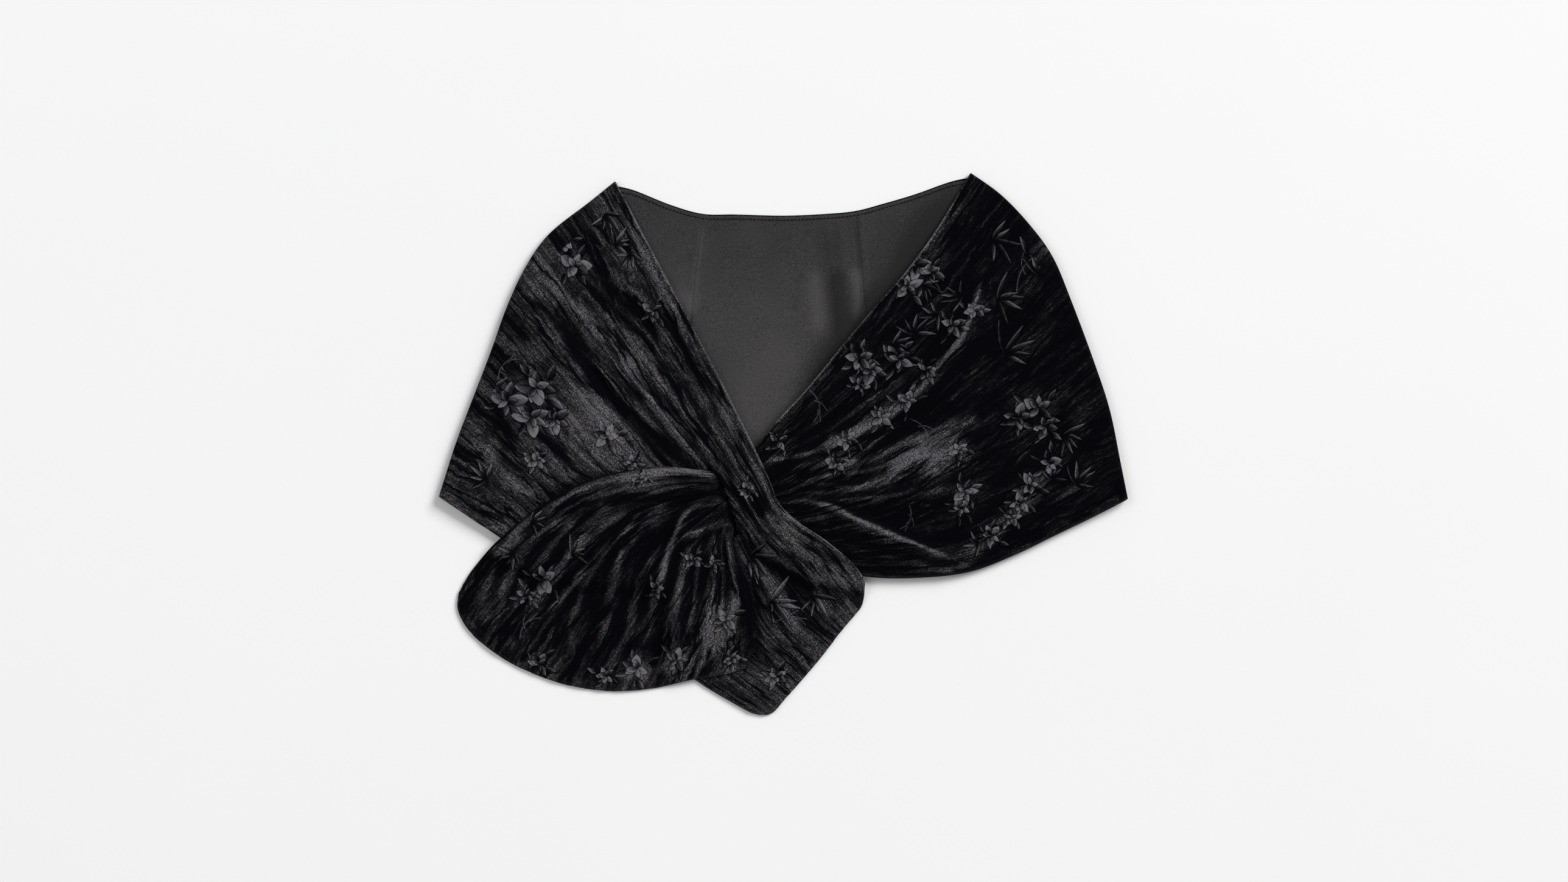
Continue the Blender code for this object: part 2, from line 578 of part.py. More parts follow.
class LeftFront:
    """The left front: one strip with a slit, a band on its neck side and a tail beyond."""

    def __init__(self):
        self.strip = Strip(LEFT_SECTIONS, LEFT_FOLD, TAIL_END)
        count = self.strip.count
        before, inside, after = LEFT_ROWS
        start, end = SLIT_START / count, SLIT_END / count
        self.along = np.concatenate([
            np.linspace(FIRST_ROW, start, before, endpoint=False),
            np.linspace(start, end, inside, endpoint=False),
            np.linspace(end, 1.0, after),
        ])
        self.slit_rows = slice(before + 1, before + inside)
        self.band = np.linspace(0.0, BAND_SHARE, BAND_COLUMNS + 1)
        self.hem = np.linspace(BAND_SHARE, 1.0, HEM_COLUMNS + 1)

    def across(self, along, share):
        """The share of the width for a column, so that one column follows the slit."""
        line = curve_through([(x, 0.0) for x in SLIT_LINE], along * self.strip.count)[..., 0]
        near = line * share / BAND_SHARE
        far = line + (1.0 - line) * (share - BAND_SHARE) / (1.0 - BAND_SHARE)
        return np.where(share < BAND_SHARE, near, far)

    def side(self, share, support):
        """Upper and lower points of the band side or the hem side, laid over a height map."""
        along = self.along[:, None]
        across = self.across(along, share[None, :])
        spots = self.strip.plan(along, across)
        edge = NECK_LIFT_LEFT * np.exp(-((across / NECK_REACH_LEFT) ** 2))
        edge = edge * smooth_step(along, *LEFT_NECK_RISES)
        settle = smooth_step(along, *LEFT_REACHES_FLOOR)
        base = (fold_tops(along, across) + edge) * (1.0 - settle) + FLOOR_TOP * settle
        relief = ridge_relief(LEFT_RIDGES, spots)
        relief = relief + sum(gather_height(gather, along, across) for gather in BAND_GATHERS)
        return across[0], *lay(spots, base, relief, support)

    def build(self, back, over):
        """The solid, and the upper points of its hem side. The hem side is laid on the map of
        the back alone, the band on the map of all that lies under it."""
        across, band_upper, band_lower = self.side(self.band, over)
        hem_across, hem_upper, hem_lower = self.side(self.hem, back)
        joined = np.ones(len(self.along), bool)
        joined[self.slit_rows] = False
        step = np.where(joined, band_upper[:, -1, 2] - hem_upper[:, 0, 2], 0.0)
        rise = step[:, None] * (1.0 - smooth_step(np.linspace(0.0, 1.0, len(self.hem)), 0.0, HEM_BLEND))
        hem_upper[..., 2] += rise
        hem_lower[..., 2] += rise

        sheet = SheetMesh()
        outer, inner = side_fold(self.strip, across)
        band = sheet.add_grid(np.concatenate([outer, band_upper]), np.concatenate([inner, band_lower]))
        outer, inner = side_fold(self.strip, hem_across)
        hem = sheet.add_grid(np.concatenate([outer, hem_upper]), np.concatenate([inner, hem_lower]))
        shared = np.concatenate([np.ones(len(outer), bool), joined])
        hem[shared, 0] = band[shared, -1]
        sheet.add_quads(band)
        sheet.add_quads(hem)
        return sheet.solid(), hem_upper


class Back:
    """The back, cut between the lips of the two fronts, its neck edge and its hem."""

    def __init__(self, left, right, inset):
        across = np.linspace(0.0, 1.0, BACK_STEPS)
        self.left = back_side(left, across) + left.inward(across) * inset
        self.right = back_side(right, across) + right.inward(across) * inset
        shares = np.linspace(0.0, 1.0, BACK_STEPS)
        neck = [tuple(self.left[0]), *BACK_NECK, tuple(self.right[0])]
        hem = [tuple(self.left[-1]), *BACK_HEM, tuple(self.right[-1])]
        self.neck = curve_by_length(neck, shares) - [0.0, inset]
        self.hem = curve_by_length(hem, shares) + [0.0, inset]

    def seam(self, points, shift):
        """A seam line from the neck edge to the hem, moved sideways."""
        line = curve_by_length(points, np.linspace(0.0, 1.0, SEAM_STEPS)) + [shift, 0.0]
        line[0, 1] = np.interp(line[0, 0], *self.neck.T)
        line[-1, 1] = np.interp(line[-1, 0], *self.hem.T)
        return line

    def outline(self, start=None, end=None):
        """The outline, anticlockwise, of what lies between two lines from neck to hem."""
        start = self.left if start is None else start
        end = self.right if end is None else end
        neck, hem = (
            edge[(edge[:, 0] > start[at, 0] + CORNER_GAP) & (edge[:, 0] < end[at, 0] - CORNER_GAP)]
            for edge, at in ((self.neck, 0), (self.hem, -1))
        )
        return np.concatenate([start, hem, end[::-1], neck[::-1]])


def build_back(left, right, velvet, lining):
    """The velvet face of the back and its lining in three panels. Returns the lining's top."""
    face = Back(left, right, 0.0)
    add_object("back_velvet", *plate(face.outline(), 0.0, BACK_VELVET_WALL), velvet)
    inner = Back(left, right, LINING_INSET)
    low, high = BACK_VELVET_WALL + SEAM_GAP, BACK_TOP
    shifts = (-SEAM_GAP / 2.0, SEAM_GAP / 2.0)
    before, after = ([inner.seam(points, shift) for points in LINING_SEAMS] for shift in shifts)
    panels = {
        "back_lining_left": inner.outline(None, before[0]),
        "back_lining_centre": inner.outline(after[0], before[1]),
        "back_lining_right": inner.outline(after[1], None),
    }
    for name, outline in panels.items():
        add_object(name, *plate(outline, low, high), lining)
    return plate(inner.outline(), low, high)


def main():
    """Builds the panels in the order in which they lie, from the surface up."""
    clear_scene()
    velvet = cloth_material("black_velvet", VELVET)
    lining = cloth_material("charcoal_lining", LINING)
    left = LeftFront()
    right = Strip(RIGHT_SECTIONS, RIGHT_FOLD)
    pulled = PulledEnd()
    back_top = build_back(left.strip, right, velvet, lining)

    on_back = HeightMap([back_top])
    solid, right_top = right_front(right, on_back)
    add_object("right_front", *solid, velvet)

    hem_top = left.side(left.hem, on_back)[1]
    at_root = HeightMap([back_top, grid_surface(hem_top)])
    root_top = pulled.faces(at_root)[0][:ROOT_ROWS + 1]
    on_right = HeightMap([back_top, grid_surface(right_top), grid_surface(root_top)], WIDE_SPREAD)
    solid, hem_top = left.build(on_back, on_right)
    add_object("left_front", *solid, velvet)

    on_left = HeightMap([back_top, grid_surface(hem_top)], WIDE_SPREAD)
    add_object("pulled_end", *pulled.build(at_root, on_left), velvet)


main()
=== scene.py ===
"""Lined velvet pull-through shoulder wrap, laid flat on its back and seen from above.

The back lies face down with its lining up, and both fronts are folded over it. The right
front is gathered under a band of the left front, comes up through a slit beside the band and
fans out. Shapes are worked out in millimetres on the plan that the wrap lies in: X to the
right and Y up as one looks down on it, Z up from the floor. Meshes are made in metres.
"""
import logging
import math
from collections.abc import Callable, Iterable, Sequence
from dataclasses import dataclass, field
from enum import Enum
from typing import NamedTuple, Self

import bpy
import numpy as np
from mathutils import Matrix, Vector
from mathutils.bvhtree import BVHTree
from mathutils.interpolate import poly_3d_calc


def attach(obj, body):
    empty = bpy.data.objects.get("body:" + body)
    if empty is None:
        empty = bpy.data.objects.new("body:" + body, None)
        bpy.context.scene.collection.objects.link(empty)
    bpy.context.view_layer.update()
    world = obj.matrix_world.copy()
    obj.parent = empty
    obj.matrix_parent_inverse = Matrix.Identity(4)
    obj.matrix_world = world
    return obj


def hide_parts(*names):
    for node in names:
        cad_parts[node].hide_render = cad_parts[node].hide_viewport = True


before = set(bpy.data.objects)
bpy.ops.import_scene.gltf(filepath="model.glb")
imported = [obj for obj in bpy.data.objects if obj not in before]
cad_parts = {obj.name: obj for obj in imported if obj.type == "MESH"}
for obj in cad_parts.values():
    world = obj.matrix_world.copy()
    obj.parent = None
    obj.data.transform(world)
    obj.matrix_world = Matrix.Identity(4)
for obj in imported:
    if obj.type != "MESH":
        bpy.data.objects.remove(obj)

LOG = logging.getLogger("wrap")
MM = 0.001
Span = tuple[float, float]
Colour = tuple[float, float, float, float]
Array = np.ndarray
Material = bpy.types.Material
Socket = bpy.types.NodeSocket

# Walls and gaps, in millimetres
VELVET_WALL = 2.0
BACK_VELVET_WALL = 1.2
LINING_WALL = 1.0
SEAM_GAP = 0.3
LAYER_GAP = 0.7
BACK_TOP = BACK_VELVET_WALL + SEAM_GAP + LINING_WALL

# Side folds, where the fronts turn over the back: sizes at the neck edge and at the hem
FOLD_RADII = (2.8, 4.6)
LIP_WIDTHS = (4.5, 12.0)
FOLD_GROWTH = (0.0, 0.35)
FOLD_SETTLING = (0.0, 0.16)
FOLD_STEPS = 12
FIRST_ROW = 0.03

# Height of a panel's top face where it lies on the back, and where it lies on the floor
FRONT_TOP = 7.0
FLOOR_TOP = 2.3
REST_LIFT = 1.0
BLEND = 0.8

# Where the gathered end passes under the band
BUNDLE_RISE = 7.0
BUNDLE_EXTRA_WALL = 3.5

# Height map of what a panel lies on
MAP_STEP = 2.0
MAP_SPREAD = 4
WIDE_SPREAD = 6
MAP_REACH_X = 310.0
MAP_REACH_Y = 250.0

# Smooth curves, and how a crease or gather fades at its ends and on its flanks
CURVE_STEPS = 16
CREASE_STOPS = 70
CREASE_START = (-0.02, 0.22)
CREASE_END = (-0.02, 0.3)
CREASE_ROUNDNESS = 1.6
CREASE_OVERRUN = 2.0
GATHER_FADE = 0.35

# Stitched hem and the lit line of the neck edge
HEM_WIDTH = 8.5
HEM_TURN = 1.0
HEM_STITCH_DEPTH = 0.25
HEM_STITCH_WIDTH = 0.9
HEM_STITCH_TONE = -0.05
HEM_BAND_TONE = 0.03
NECK_LINE_WIDTH = 1.0
NECK_LINE_TONE = 0.42

# Painted light on crests and painted shade in valleys: columns to either side, and the tone that they bring
CREST_STEPS = ((3, 0.07), (7, 0.07))
CREST_SLOPE = 0.10


class Section(NamedTuple):
    """One line across a panel, from its neck edge to its hem edge."""

    neck_x: float
    neck_y: float
    hem_x: float
    hem_y: float


class Crease(NamedTuple):
    """A fold of the cloth along a path: x and y of each stop in turn. Lines of painted light and painted
    shade use it too, with a tone for its height.

    Left and right are the widths of its flanks, the right one like the left where it isn't given.
    """

    path: Sequence[float]
    height: float
    left: float
    right: float | None = None


class Gather(NamedTuple):
    """A fold that runs the way the panel does, at a share of its width."""

    across: float
    width: float
    start: float
    end: float
    height: float


class Patch(NamedTuple):
    """A soft lighter or darker place: of the pile itself, and of painted light and painted shade."""

    x: float
    y: float
    reach: float
    width: float
    turn: float
    tone: float


class Hold(Enum):
    """How a sheet of cloth is held."""

    LAID = "laid"
    FOLDED = "folded"
    GATHERED = "gathered"


class Growth(Enum):
    """Kinds of plant in the cloth's tone-on-tone pattern."""

    BLOSSOM = "blossom"
    BAMBOO = "bamboo"
    TWIG = "twig"


BLOSSOM, BAMBOO, TWIG = Growth


class Spray(NamedTuple):
    """One plant of the pattern: where it is, which way it points and how long it is."""

    x: float
    y: float
    turn: float
    size: float
    kind: Growth = BLOSSOM


LEFT_FOLD = [(-142, 221), (-163, 204), (-197, 177), (-217, 149), (-233, 115), (-247, 76), (-262, 37),
             (-276, 0), (-290, -44)]
RIGHT_FOLD = [(158, 228), (183, 210), (207, 185), (227, 157), (243, 119), (262, 68), (275, 28), (284, -16),
              (290, -46)]
BACK_NECK = [(-125, 213), (-95, 201), (-68, 193.5), (-40, 193), (0, 192), (36, 193.5), (61, 196), (84, 202),
             (111, 210), (139, 220)]
BACK_HEM = [(-240, -76), (-180, -90), (-100, -97), (0, -99), (100, -98), (180, -90), (240, -67)]
TAIL_END = [(68, -121), (65, -137), (48, -158), (31, -180), (14, -200), (-1, -217), (-9, -226),
            (-18, -228), (-28, -226)]
PULLED_HEM = [(-273, -126), (-274, -138), (-270, -149), (-261, -161), (-247, -173), (-230, -184),
              (-211, -193), (-189, -201), (-165, -206), (-138, -208), (-107, -205), (-76, -198),
              (-50, -194), (-34, -189)]

LEFT_SECTIONS = [Section(*row) for row in (
    (-142, 221, -290, -44), (-113, 166, -257, -66), (-80, 104, -222, -88), (-50, 47, -180, -104),
    (-24, -5, -135, -108), (-12, -31, -104, -110), (-4, -50, -84, -118), (11, -65, -84, -134),
    (36, -82, -90, -158), (56, -99, -88, -182), (67, -113, -72, -200), (68, -121, -28, -226),
)]
RIGHT_SECTIONS = [Section(*row) for row in (
    (158, 228, 290, -46), (129, 180, 261, -61), (102, 143, 228, -77), (74, 111, 195, -93),
    (47, 79, 158, -107), (20, 46, 120, -112), (-4, 20, 75, -112), (-24, -5, 34, -104), (-35, -14, 2, -86),
    (-42, -20, -28, -62),
)]
PULLED_SECTIONS = [Section(*row) for row in (
    (-42.3, -20.1, -28.3, -62.1), (-54, -24, -39.5, -68), (-74, -22, -43, -80), (-109, -20, -39, -97),
    (-158, -29, -30, -117), (-199, -49, -24, -140), (-239, -81, -22, -158), (-262, -107, -24, -172),
    (-273, -126, -34, -189),
)]

# The share of the left front's width at which the line of its slit crosses each section
SLIT_LINE = (0.30, 0.29, 0.28, 0.26, 0.25, 0.33, 0.40, 0.43, 0.46, 0.48, 0.50, 0.50)

LEFT_CREASES = [Crease(*row) for row in (
    ([-205, 142, -173, 107, -134, 62, -96, 21, -66, -10], 3.4, 7),
    ([-150, 149, -109, 107, -77, 56, -48, 8], 2.8, 6),
    ([-195, 130, -157, 56, -128, 17, -98, -8], -2.0, 5),
    ([-173, 139, -122, 91, -83, 43, -54, 0], -1.8, 4),
    ([-216, 116, -176, 50, -144, 6, -114, -16], 2.6, 12, 8),
    ([-128, 178, -92, 112, -60, 50, -38, 10], 1.8, 5),
    ([-250, 60, -215, 10, -180, -30, -150, -50], 2.4, 10, 14),
    ([-262, 8, -232, -28, -200, -58], 1.8, 9),
    ([-30, -74, -4, -85, 27, -100, 52, -110], 2.4, 7, 5),
    ([-18, -104, -2, -136, 12, -172], 2.2, 8),
    ([20, -104, 30, -128, 36, -152], 1.4, 6),
    ([-140, 96, -104, 52, -74, 12], 1.5, 3),
    ([-166, 74, -128, 34, -92, 0], 1.4, 3),
    ([-112, 140, -84, 88, -60, 40], 1.1, 2.5),
    ([-44, -206, -20, -190, 4, -182], 0.9, 4),
)]
RIGHT_CREASES = [Crease(*row) for row in (
    ([-10, -16, 20, -10, 52, 6, 84, 22, 112, 41, 130, 59, 148, 85, 161, 112, 170, 146], 7.0, 7, 14),
    ([0, -2, 40, 18, 75, 45, 105, 80, 125, 115], -1.8, 8),
    ([-6, -30, 30, -20, 65, -14, 100, 0, 135, 12, 170, 30], 4.2, 8, 9),
    ([-2, -38, 34, -34, 62, -38, 84, -31, 110, -14, 150, -4], 3.2, 5, 6),
    ([10, -46, 45, -47, 80, -46, 120, -42, 176, -34], 3.0, 6),
    ([2, -48, 29, -51.5, 58, -63, 84, -72.5, 112, -85, 148, -100], 6.5, 3.5, 15),
    ([128, -109, 148, -99, 170, -84, 193, -63, 215, -37, 230, -10], 3.4, 12, 8),
    ([66, 52, 122, 92, 185, 124, 228, 130], 2.2, 14),
    ([188, 62, 225, 32, 264, 6], 2.0, 12),
    ([104, -98, 126, -105, 146, -109], 1.8, 5, 4),
    ([-4, -24, 26, -15, 60, -4, 92, 12, 124, 26], 1.8, 3, 4),
    ([0, -42, 40, -41, 76, -33, 112, -26], 1.6, 2.5, 3),
    ([2, -34, 38, -27, 74, -22, 108, -8, 138, 4], 1.5, 2.5, 3),
    ([-6, -10, 24, 4, 56, 24, 88, 50], 1.4, 3),
)]
PULLED_CREASES = [Crease(*row) for row in (
    ([-38, -50, -63, -48, -76, -54, -86, -65, -91, -79, -96, -92], 7.0, 12, 3.5),
    ([-94, -80, -78, -78, -66, -73, -54, -69, -36, -65], 5.5, 12, 3),
    ([-88, -64, -93, -82, -100, -102, -107, -126, -113, -160], 4.5, 5, 6),
    ([-100, -50, -119, -66, -142, -82, -170, -110, -204, -146], 4.2, 6, 5),
    ([-140, -46, -158, -62, -176, -86, -196, -116, -222, -144], 3.4, 6),
    ([-110, -62, -129, -84, -141, -108, -148, -140, -156, -182], 3.8, 6),
    ([-182, -56, -210, -80, -228, -106, -240, -138], 3.2, 7),
    ([-214, -74, -238, -96, -251, -120, -256, -146], 2.2, 6),
    ([-98, -76, -111, -98, -124, -130, -134, -176], 2.8, 4),
    ([-78, -82, -86, -112, -91, -142, -97, -180], 3.4, 5),
    ([-62, -76, -60, -104, -62, -132, -68, -178], 3.2, 4.5),
    ([-48, -72, -44, -100, -42, -130, -46, -172], 3.0, 5),
    ([-70, -80, -73, -110, -76, -140, -82, -170], 1.6, 2.2),
    ([-54, -76, -51, -104, -52, -134, -56, -168], 1.5, 2),
    ([-122, -62, -148, -88, -168, -122, -182, -158], 1.8, 3),
    ([-162, -54, -188, -78, -210, -108, -230, -142], 1.6, 3),
    ([-60, -36, -90, -34, -130, -38, -170, -48, -206, -68], 1.6, 2.5),
)]
RIGHT_GATHERS = [Gather(*row) for row in (
    (0.14, 0.030, 0.50, 1.1, 1.8), (0.30, 0.028, 0.60, 1.1, 2.2), (0.45, 0.028, 0.62, 1.1, 2.2),
    (0.60, 0.028, 0.60, 1.1, 2.0), (0.76, 0.030, 0.62, 1.1, 1.8), (0.90, 0.028, 0.60, 1.1, 1.4),
    (0.22, 0.014, 0.66, 1.1, 1.1), (0.38, 0.014, 0.60, 1.1, 1.2), (0.53, 0.014, 0.64, 1.1, 1.1),
    (0.68, 0.014, 0.58, 1.1, 1.0),
)]
BAND_GATHERS = [Gather(*row) for row in (
    (0.05, 0.022, 0.15, 0.62, 1.6), (0.13, 0.022, 0.22, 0.64, 1.9), (0.21, 0.022, 0.20, 0.62, 1.7),
    (0.09, 0.010, 0.24, 0.60, 0.9), (0.17, 0.010, 0.18, 0.58, 0.9), (0.28, 0.014, 0.16, 0.50, 1.0),
)]
LINING_CREASES = [Crease(*row) for row in (
    ([36, 194, 43, 140, 50, 84, 44, 30], 2.2, 12, 7),
    ([-100, 200, -84, 130, -60, 60], 1.2, 14),
    ([-30, 190, -34, 120, -20, 40], 0.9, 22),
    ([100, 206, 84, 150, 72, 96], 1.3, 8, 12),
)]
# Painted light and painted shade on the lining: a lit middle, lit places by the seams and a painted shadow
# beside the right front's neck edge.
LINING_PAINTED_LIGHT_PATCHES = [Patch(*row) for row in (
    (-5, 20, 110, 75, 90, 0.4), (-84, 120, 11, 8, -60, 0.45), (92, 148, 22, 12, 50, 0.2),
    (138, 190, 30, 14, 62, -0.4), (-94, 142, 36, 16, -60, 0.16),
)]
# Lines of painted light and painted shade on the lining: shade and light along its soft folds and seams, and
# a painted shadow along the right front's neck edge.
LINING_PAINTED_LIGHT_AND_SHADE = [Crease(*row) for row in (
    ([44, 190, 45, 150, 47, 120, 50, 88], -0.14, 6),
    ([45, 152, 47, 122, 51, 86], -0.42, 8, 7),
    ([25, 152, 29, 118, 30, 86], 0.36, 7),
    ([60, 152, 63, 124, 60, 98], 0.5, 5),
    ([-67, 196, -77, 107], 0.3, 1.6, 1.0),
    ([60, 198, 68, 111], -0.4, 1.2),
    ([-74, 162, -98, 146], -0.1, 3),
    ([-79, 105, -62, 118], -0.1, 2.5),
    ([8, 182, -12, 160, -26, 146], -0.08, 8),
    ([19, 148, 8, 108], -0.08, 6),
    ([150, 214, 128, 192, 118, 176, 98, 148, 80, 124, 60, 97, 40, 74, 16, 44, -10, 14], -0.6, 8, 13),
)]
LINING_SEAMS = [
    [(-68, 194), (-78, 107), (-84, 0), (-88, -98)],
    [(61, 196), (69, 111), (77, 0), (86, -98)],
]

# Lighter and darker places of the left front: crushed pile, with painted light and painted shade among them,
# such as painted shade beside the pulled end.
LEFT_PILE_AND_SHADING_PATCHES = [Patch(*row) for row in (
    (-98, -6, 24, 8, -35, -0.26), (-216, 94, 17, 8, -20, -0.24), (-236, 68, 14, 6, -30, -0.16),
    (-246, 28, 12, 10, 0, -0.18), (-237, -15, 14, 7, 70, -0.15), (-200, 66, 8, 5, 0, -0.16),
    (-160, 12, 46, 24, -60, 0.22), (-208, 75, 14, 8, -30, 0.14), (-128, 68, 30, 12, -48, 0.15),
    (-262, -38, 20, 14, 0, -0.05), (-72, 56, 26, 10, -62, -0.16), (-21, -51, 9, 6, -60, -0.6),
    (8, -71, 16, 8, -45, 0.14), (10, -112, 24, 9, -55, -0.14), (-5, -195, 16, 8, -60, 0.1),
    (10, -160, 30, 16, -55, 0.06), (-24, -140, 40, 5, 88, -0.2), (-66, 4, 30, 10, -60, -0.12),
)]
# Lines of painted light and painted shade on the left front: painted highlights on its folds, and painted
# shade beside them and under the pulled end's roll.
LEFT_PAINTED_LIGHT_AND_SHADE = [Crease(*row) for row in (
    ([-166, 194, -158, 162, -148, 134, -126, 110, -98, 92, -74, 66, -60, 42], -0.21, 10),
    ([-200, 158, -180, 135, -160, 118, -140, 103, -118, 90, -100, 74], -0.2, 2.6),
    ([-176, 134, -152, 112, -130, 96, -112, 82], 0.18, 2.2, 1.6),
    ([-222, 126, -198, 110, -181, 90, -170, 72, -155, 52, -140, 36], -0.26, 2.4, 2.8),
    ([-160, 58, -140, 36, -120, 18, -104, 4, -88, -10], -0.26, 3, 4),
    ([-202, 82, -180, 62, -160, 45, -144, 31], -0.24, 2.2),
    ([-190, 84, -172, 64, -150, 42], -0.16, 1.5),
    ([-186, 122, -168, 100, -150, 78, -138, 62], -0.2, 1.8),
    ([-178, 126, -156, 98, -136, 74, -112, 46], 0.12, 4),
    ([-252, 26, -226, 12, -200, 3, -187, -8, -178, -30], -0.26, 5, 6),
    ([-206, -50, -182, -36, -150, -27, -118, -22], -0.22, 5),
    ([-202, 170, -216, 148, -229, 122], -0.16, 5),
    ([-136, 202, -124, 165, -112, 135, -98, 110], 0.06, 9),
    ([-232, 108, -241, 84], 0.1, 5),
    ([-242, -8, -214, -13, -196, -30], 0.12, 4),
    ([-218, 136, -198, 124], 0.16, 1.6),
    ([-196, 132, -191, 120, -196, 112], 0.12, 1.5),
    ([-96, 66, -82, 38, -66, 8, -50, -18], 0.1, 2.5),
    ([-104, 62, -92, 34, -78, 8, -62, -14], -0.12, 3),
    ([-60, 44, -46, 18, -33, -8], 0.08, 5),
    ([-112, 78, -100, 58, -96, 44], 0.14, 2),
    ([-152, -4, -130, -10, -112, -16], 0.08, 5),
    ([-52, -14, -38, -42, -26, -64], -0.22, 2),
    ([-44, 6, -26, -24, -8, -54], -0.14, 1.5),
    ([-12, -18, -5, -38, 3, -52], 0.2, 1.8),
    ([0, -52, 14, -63, 32, -77, 54, -98], 0.2, 2.5, 2),
    ([-32, -85, 0, -95, 26, -106, 54, -118], 0.14, 3),
    ([-34, -92, -10, -103, 14, -116, 34, -130], -0.18, 3),
    ([18, -74, 30, -92, 44, -112], -0.1, 2),
    ([34, -98, 46, -110, 56, -128], 0.12, 2),
    ([-60, -200, -40, -210, -20, -220], -0.1, 2),
    ([-24, -178, -8, -190, 4, -204], -0.12, 2),
)]
# Lighter and darker places of the right front: crushed pile, with painted light on its lit folds.
RIGHT_PILE_AND_SHADING_PATCHES = [Patch(*row) for row in (
    (104, -13, 34, 12, 35, 0.58), (131, -16, 21, 12, 45, 0.48), (148, -5, 9, 7, 0, 0.34),
    (150, -44, 14, 8, 60, 0.12), (212, 24, 20, 13, 20, 0.06), (212, -34, 30, 12, 52, 0.1),
    (186, -68, 26, 10, 40, 0.12), (110, 145, 24, 10, 56, 0.1), (84, 42, 38, 13, 42, 0.2),
    (-2, 4, 12, 7, 40, 0.14), (146, -92, 26, 8, 24, 0.1), (250, -30, 16, 9, 20, 0.05),
)]
# Lines of painted light and painted shade on the right front: painted highlights on fold crests and edges,
# and painted shade beside them.
RIGHT_PAINTED_LIGHT_AND_SHADE = [Crease(*row) for row in (
    ([158, 220, 150, 201, 131, 181, 114, 161, 98, 142, 84, 124], 0.26, 3.5),
    ([-20, 4, 0, 25, 30, 55, 62, 88], 0.1, 6),
    ([170, 152, 164, 128, 157, 105, 147, 85, 130, 65, 112, 42, 95, 26], 0.58, 1.5, 2.8),
    ([160, 96, 150, 76, 134, 54, 116, 32, 96, 14, 70, 2, 44, -8], -0.22, 4, 3),
    ([108, 38, 92, 26, 72, 14, 52, 2, 28, -6], 0.56, 2.2, 5.5),
    ([28, -5, 6, -11, -18, -16], 0.5, 2, 3),
    ([24, -23, 50, -13, 80, 4, 104, 28], 0.34, 3, 3.5),
    ([30, -30, 46, -22, 64, -9], 0.4, 3, 3.5),
    ([40, -34, 58, -24, 76, -12], 0.14, 1.6),
    ([20, -42, 44, -35, 70, -20], 0.14, 1.8),
    ([14, -46, 50, -42, 84, -30], 0.12, 1.6),
    ([136, -2, 152, 12, 168, 24], 0.3, 3),
    ([150, -16, 164, -4, 178, 8], 0.16, 3),
    ([160, 10, 172, 20, 180, 30], 0.1, 2),
    ([52, -37, 77, -8, 103, 8], -0.24, 1.3),
    ([70, -40, 98, -22, 124, -10], -0.26, 1.3),
    ([100, -34, 122, -22, 142, -10], -0.2, 1.2),
    ([10, -47, 38, -50.5, 62, -63, 90, -76, 120, -87, 145, -99], 0.56, 1.4, 2.2),
    ([58, -68, 80, -78, 104, -88], 0.16, 4),
    ([28, -54, 34, -66, 38, -78], 0.12, 3),
    ([40, -80, 80, -94, 124, -104], 0.08, 2),
    ([82, -55, 105, -50, 132, -53], 0.2, 1.1),
    ([96, -100, 128, -108, 160, -101, 196, -88], 0.1, 3),
    ([196, 204, 216, 172, 232, 138, 246, 106, 262, 66, 274, 26, 284, -16], 0.14, 2),
    ([222, 150, 214, 158, 204, 160], 0.16, 4),
    ([150, 60, 190, 84, 226, 100], 0.06, 5),
    ([130, 34, 170, 52, 216, 62], 0.06, 3),
    ([154, 40, 160, 60, 180, 90], 0.05, 2),
    ([110, 92, 126, 112, 138, 134], 0.08, 5),
)]
# Lighter and darker places of the pulled end: crushed pile and a lighter ground under the plants, with
# painted light and painted shade.
PULLED_PILE_AND_SHADING_PATCHES = [Patch(*row) for row in (
    (-55, -156, 30, 16, 84, 0.42), (-122, -190, 20, 12, 0, 0.3), (-88, -184, 12, 9, 20, 0.28),
    (-84, -122, 16, 5, 80, 0.16), (-203, -115, 20, 12, 45, 0.12), (-38, -130, 8, 3, 84, 0.3),
    (-212, -176, 28, 8, -36, 0.1), (-232, -86, 20, 6, 52, 0.14), (-40, -190, 20, 8, 10, 0.14),
    (-64, -108, 16, 8, 84, -0.08), (-168, -84, 20, 6, 40, 0.06),
)]
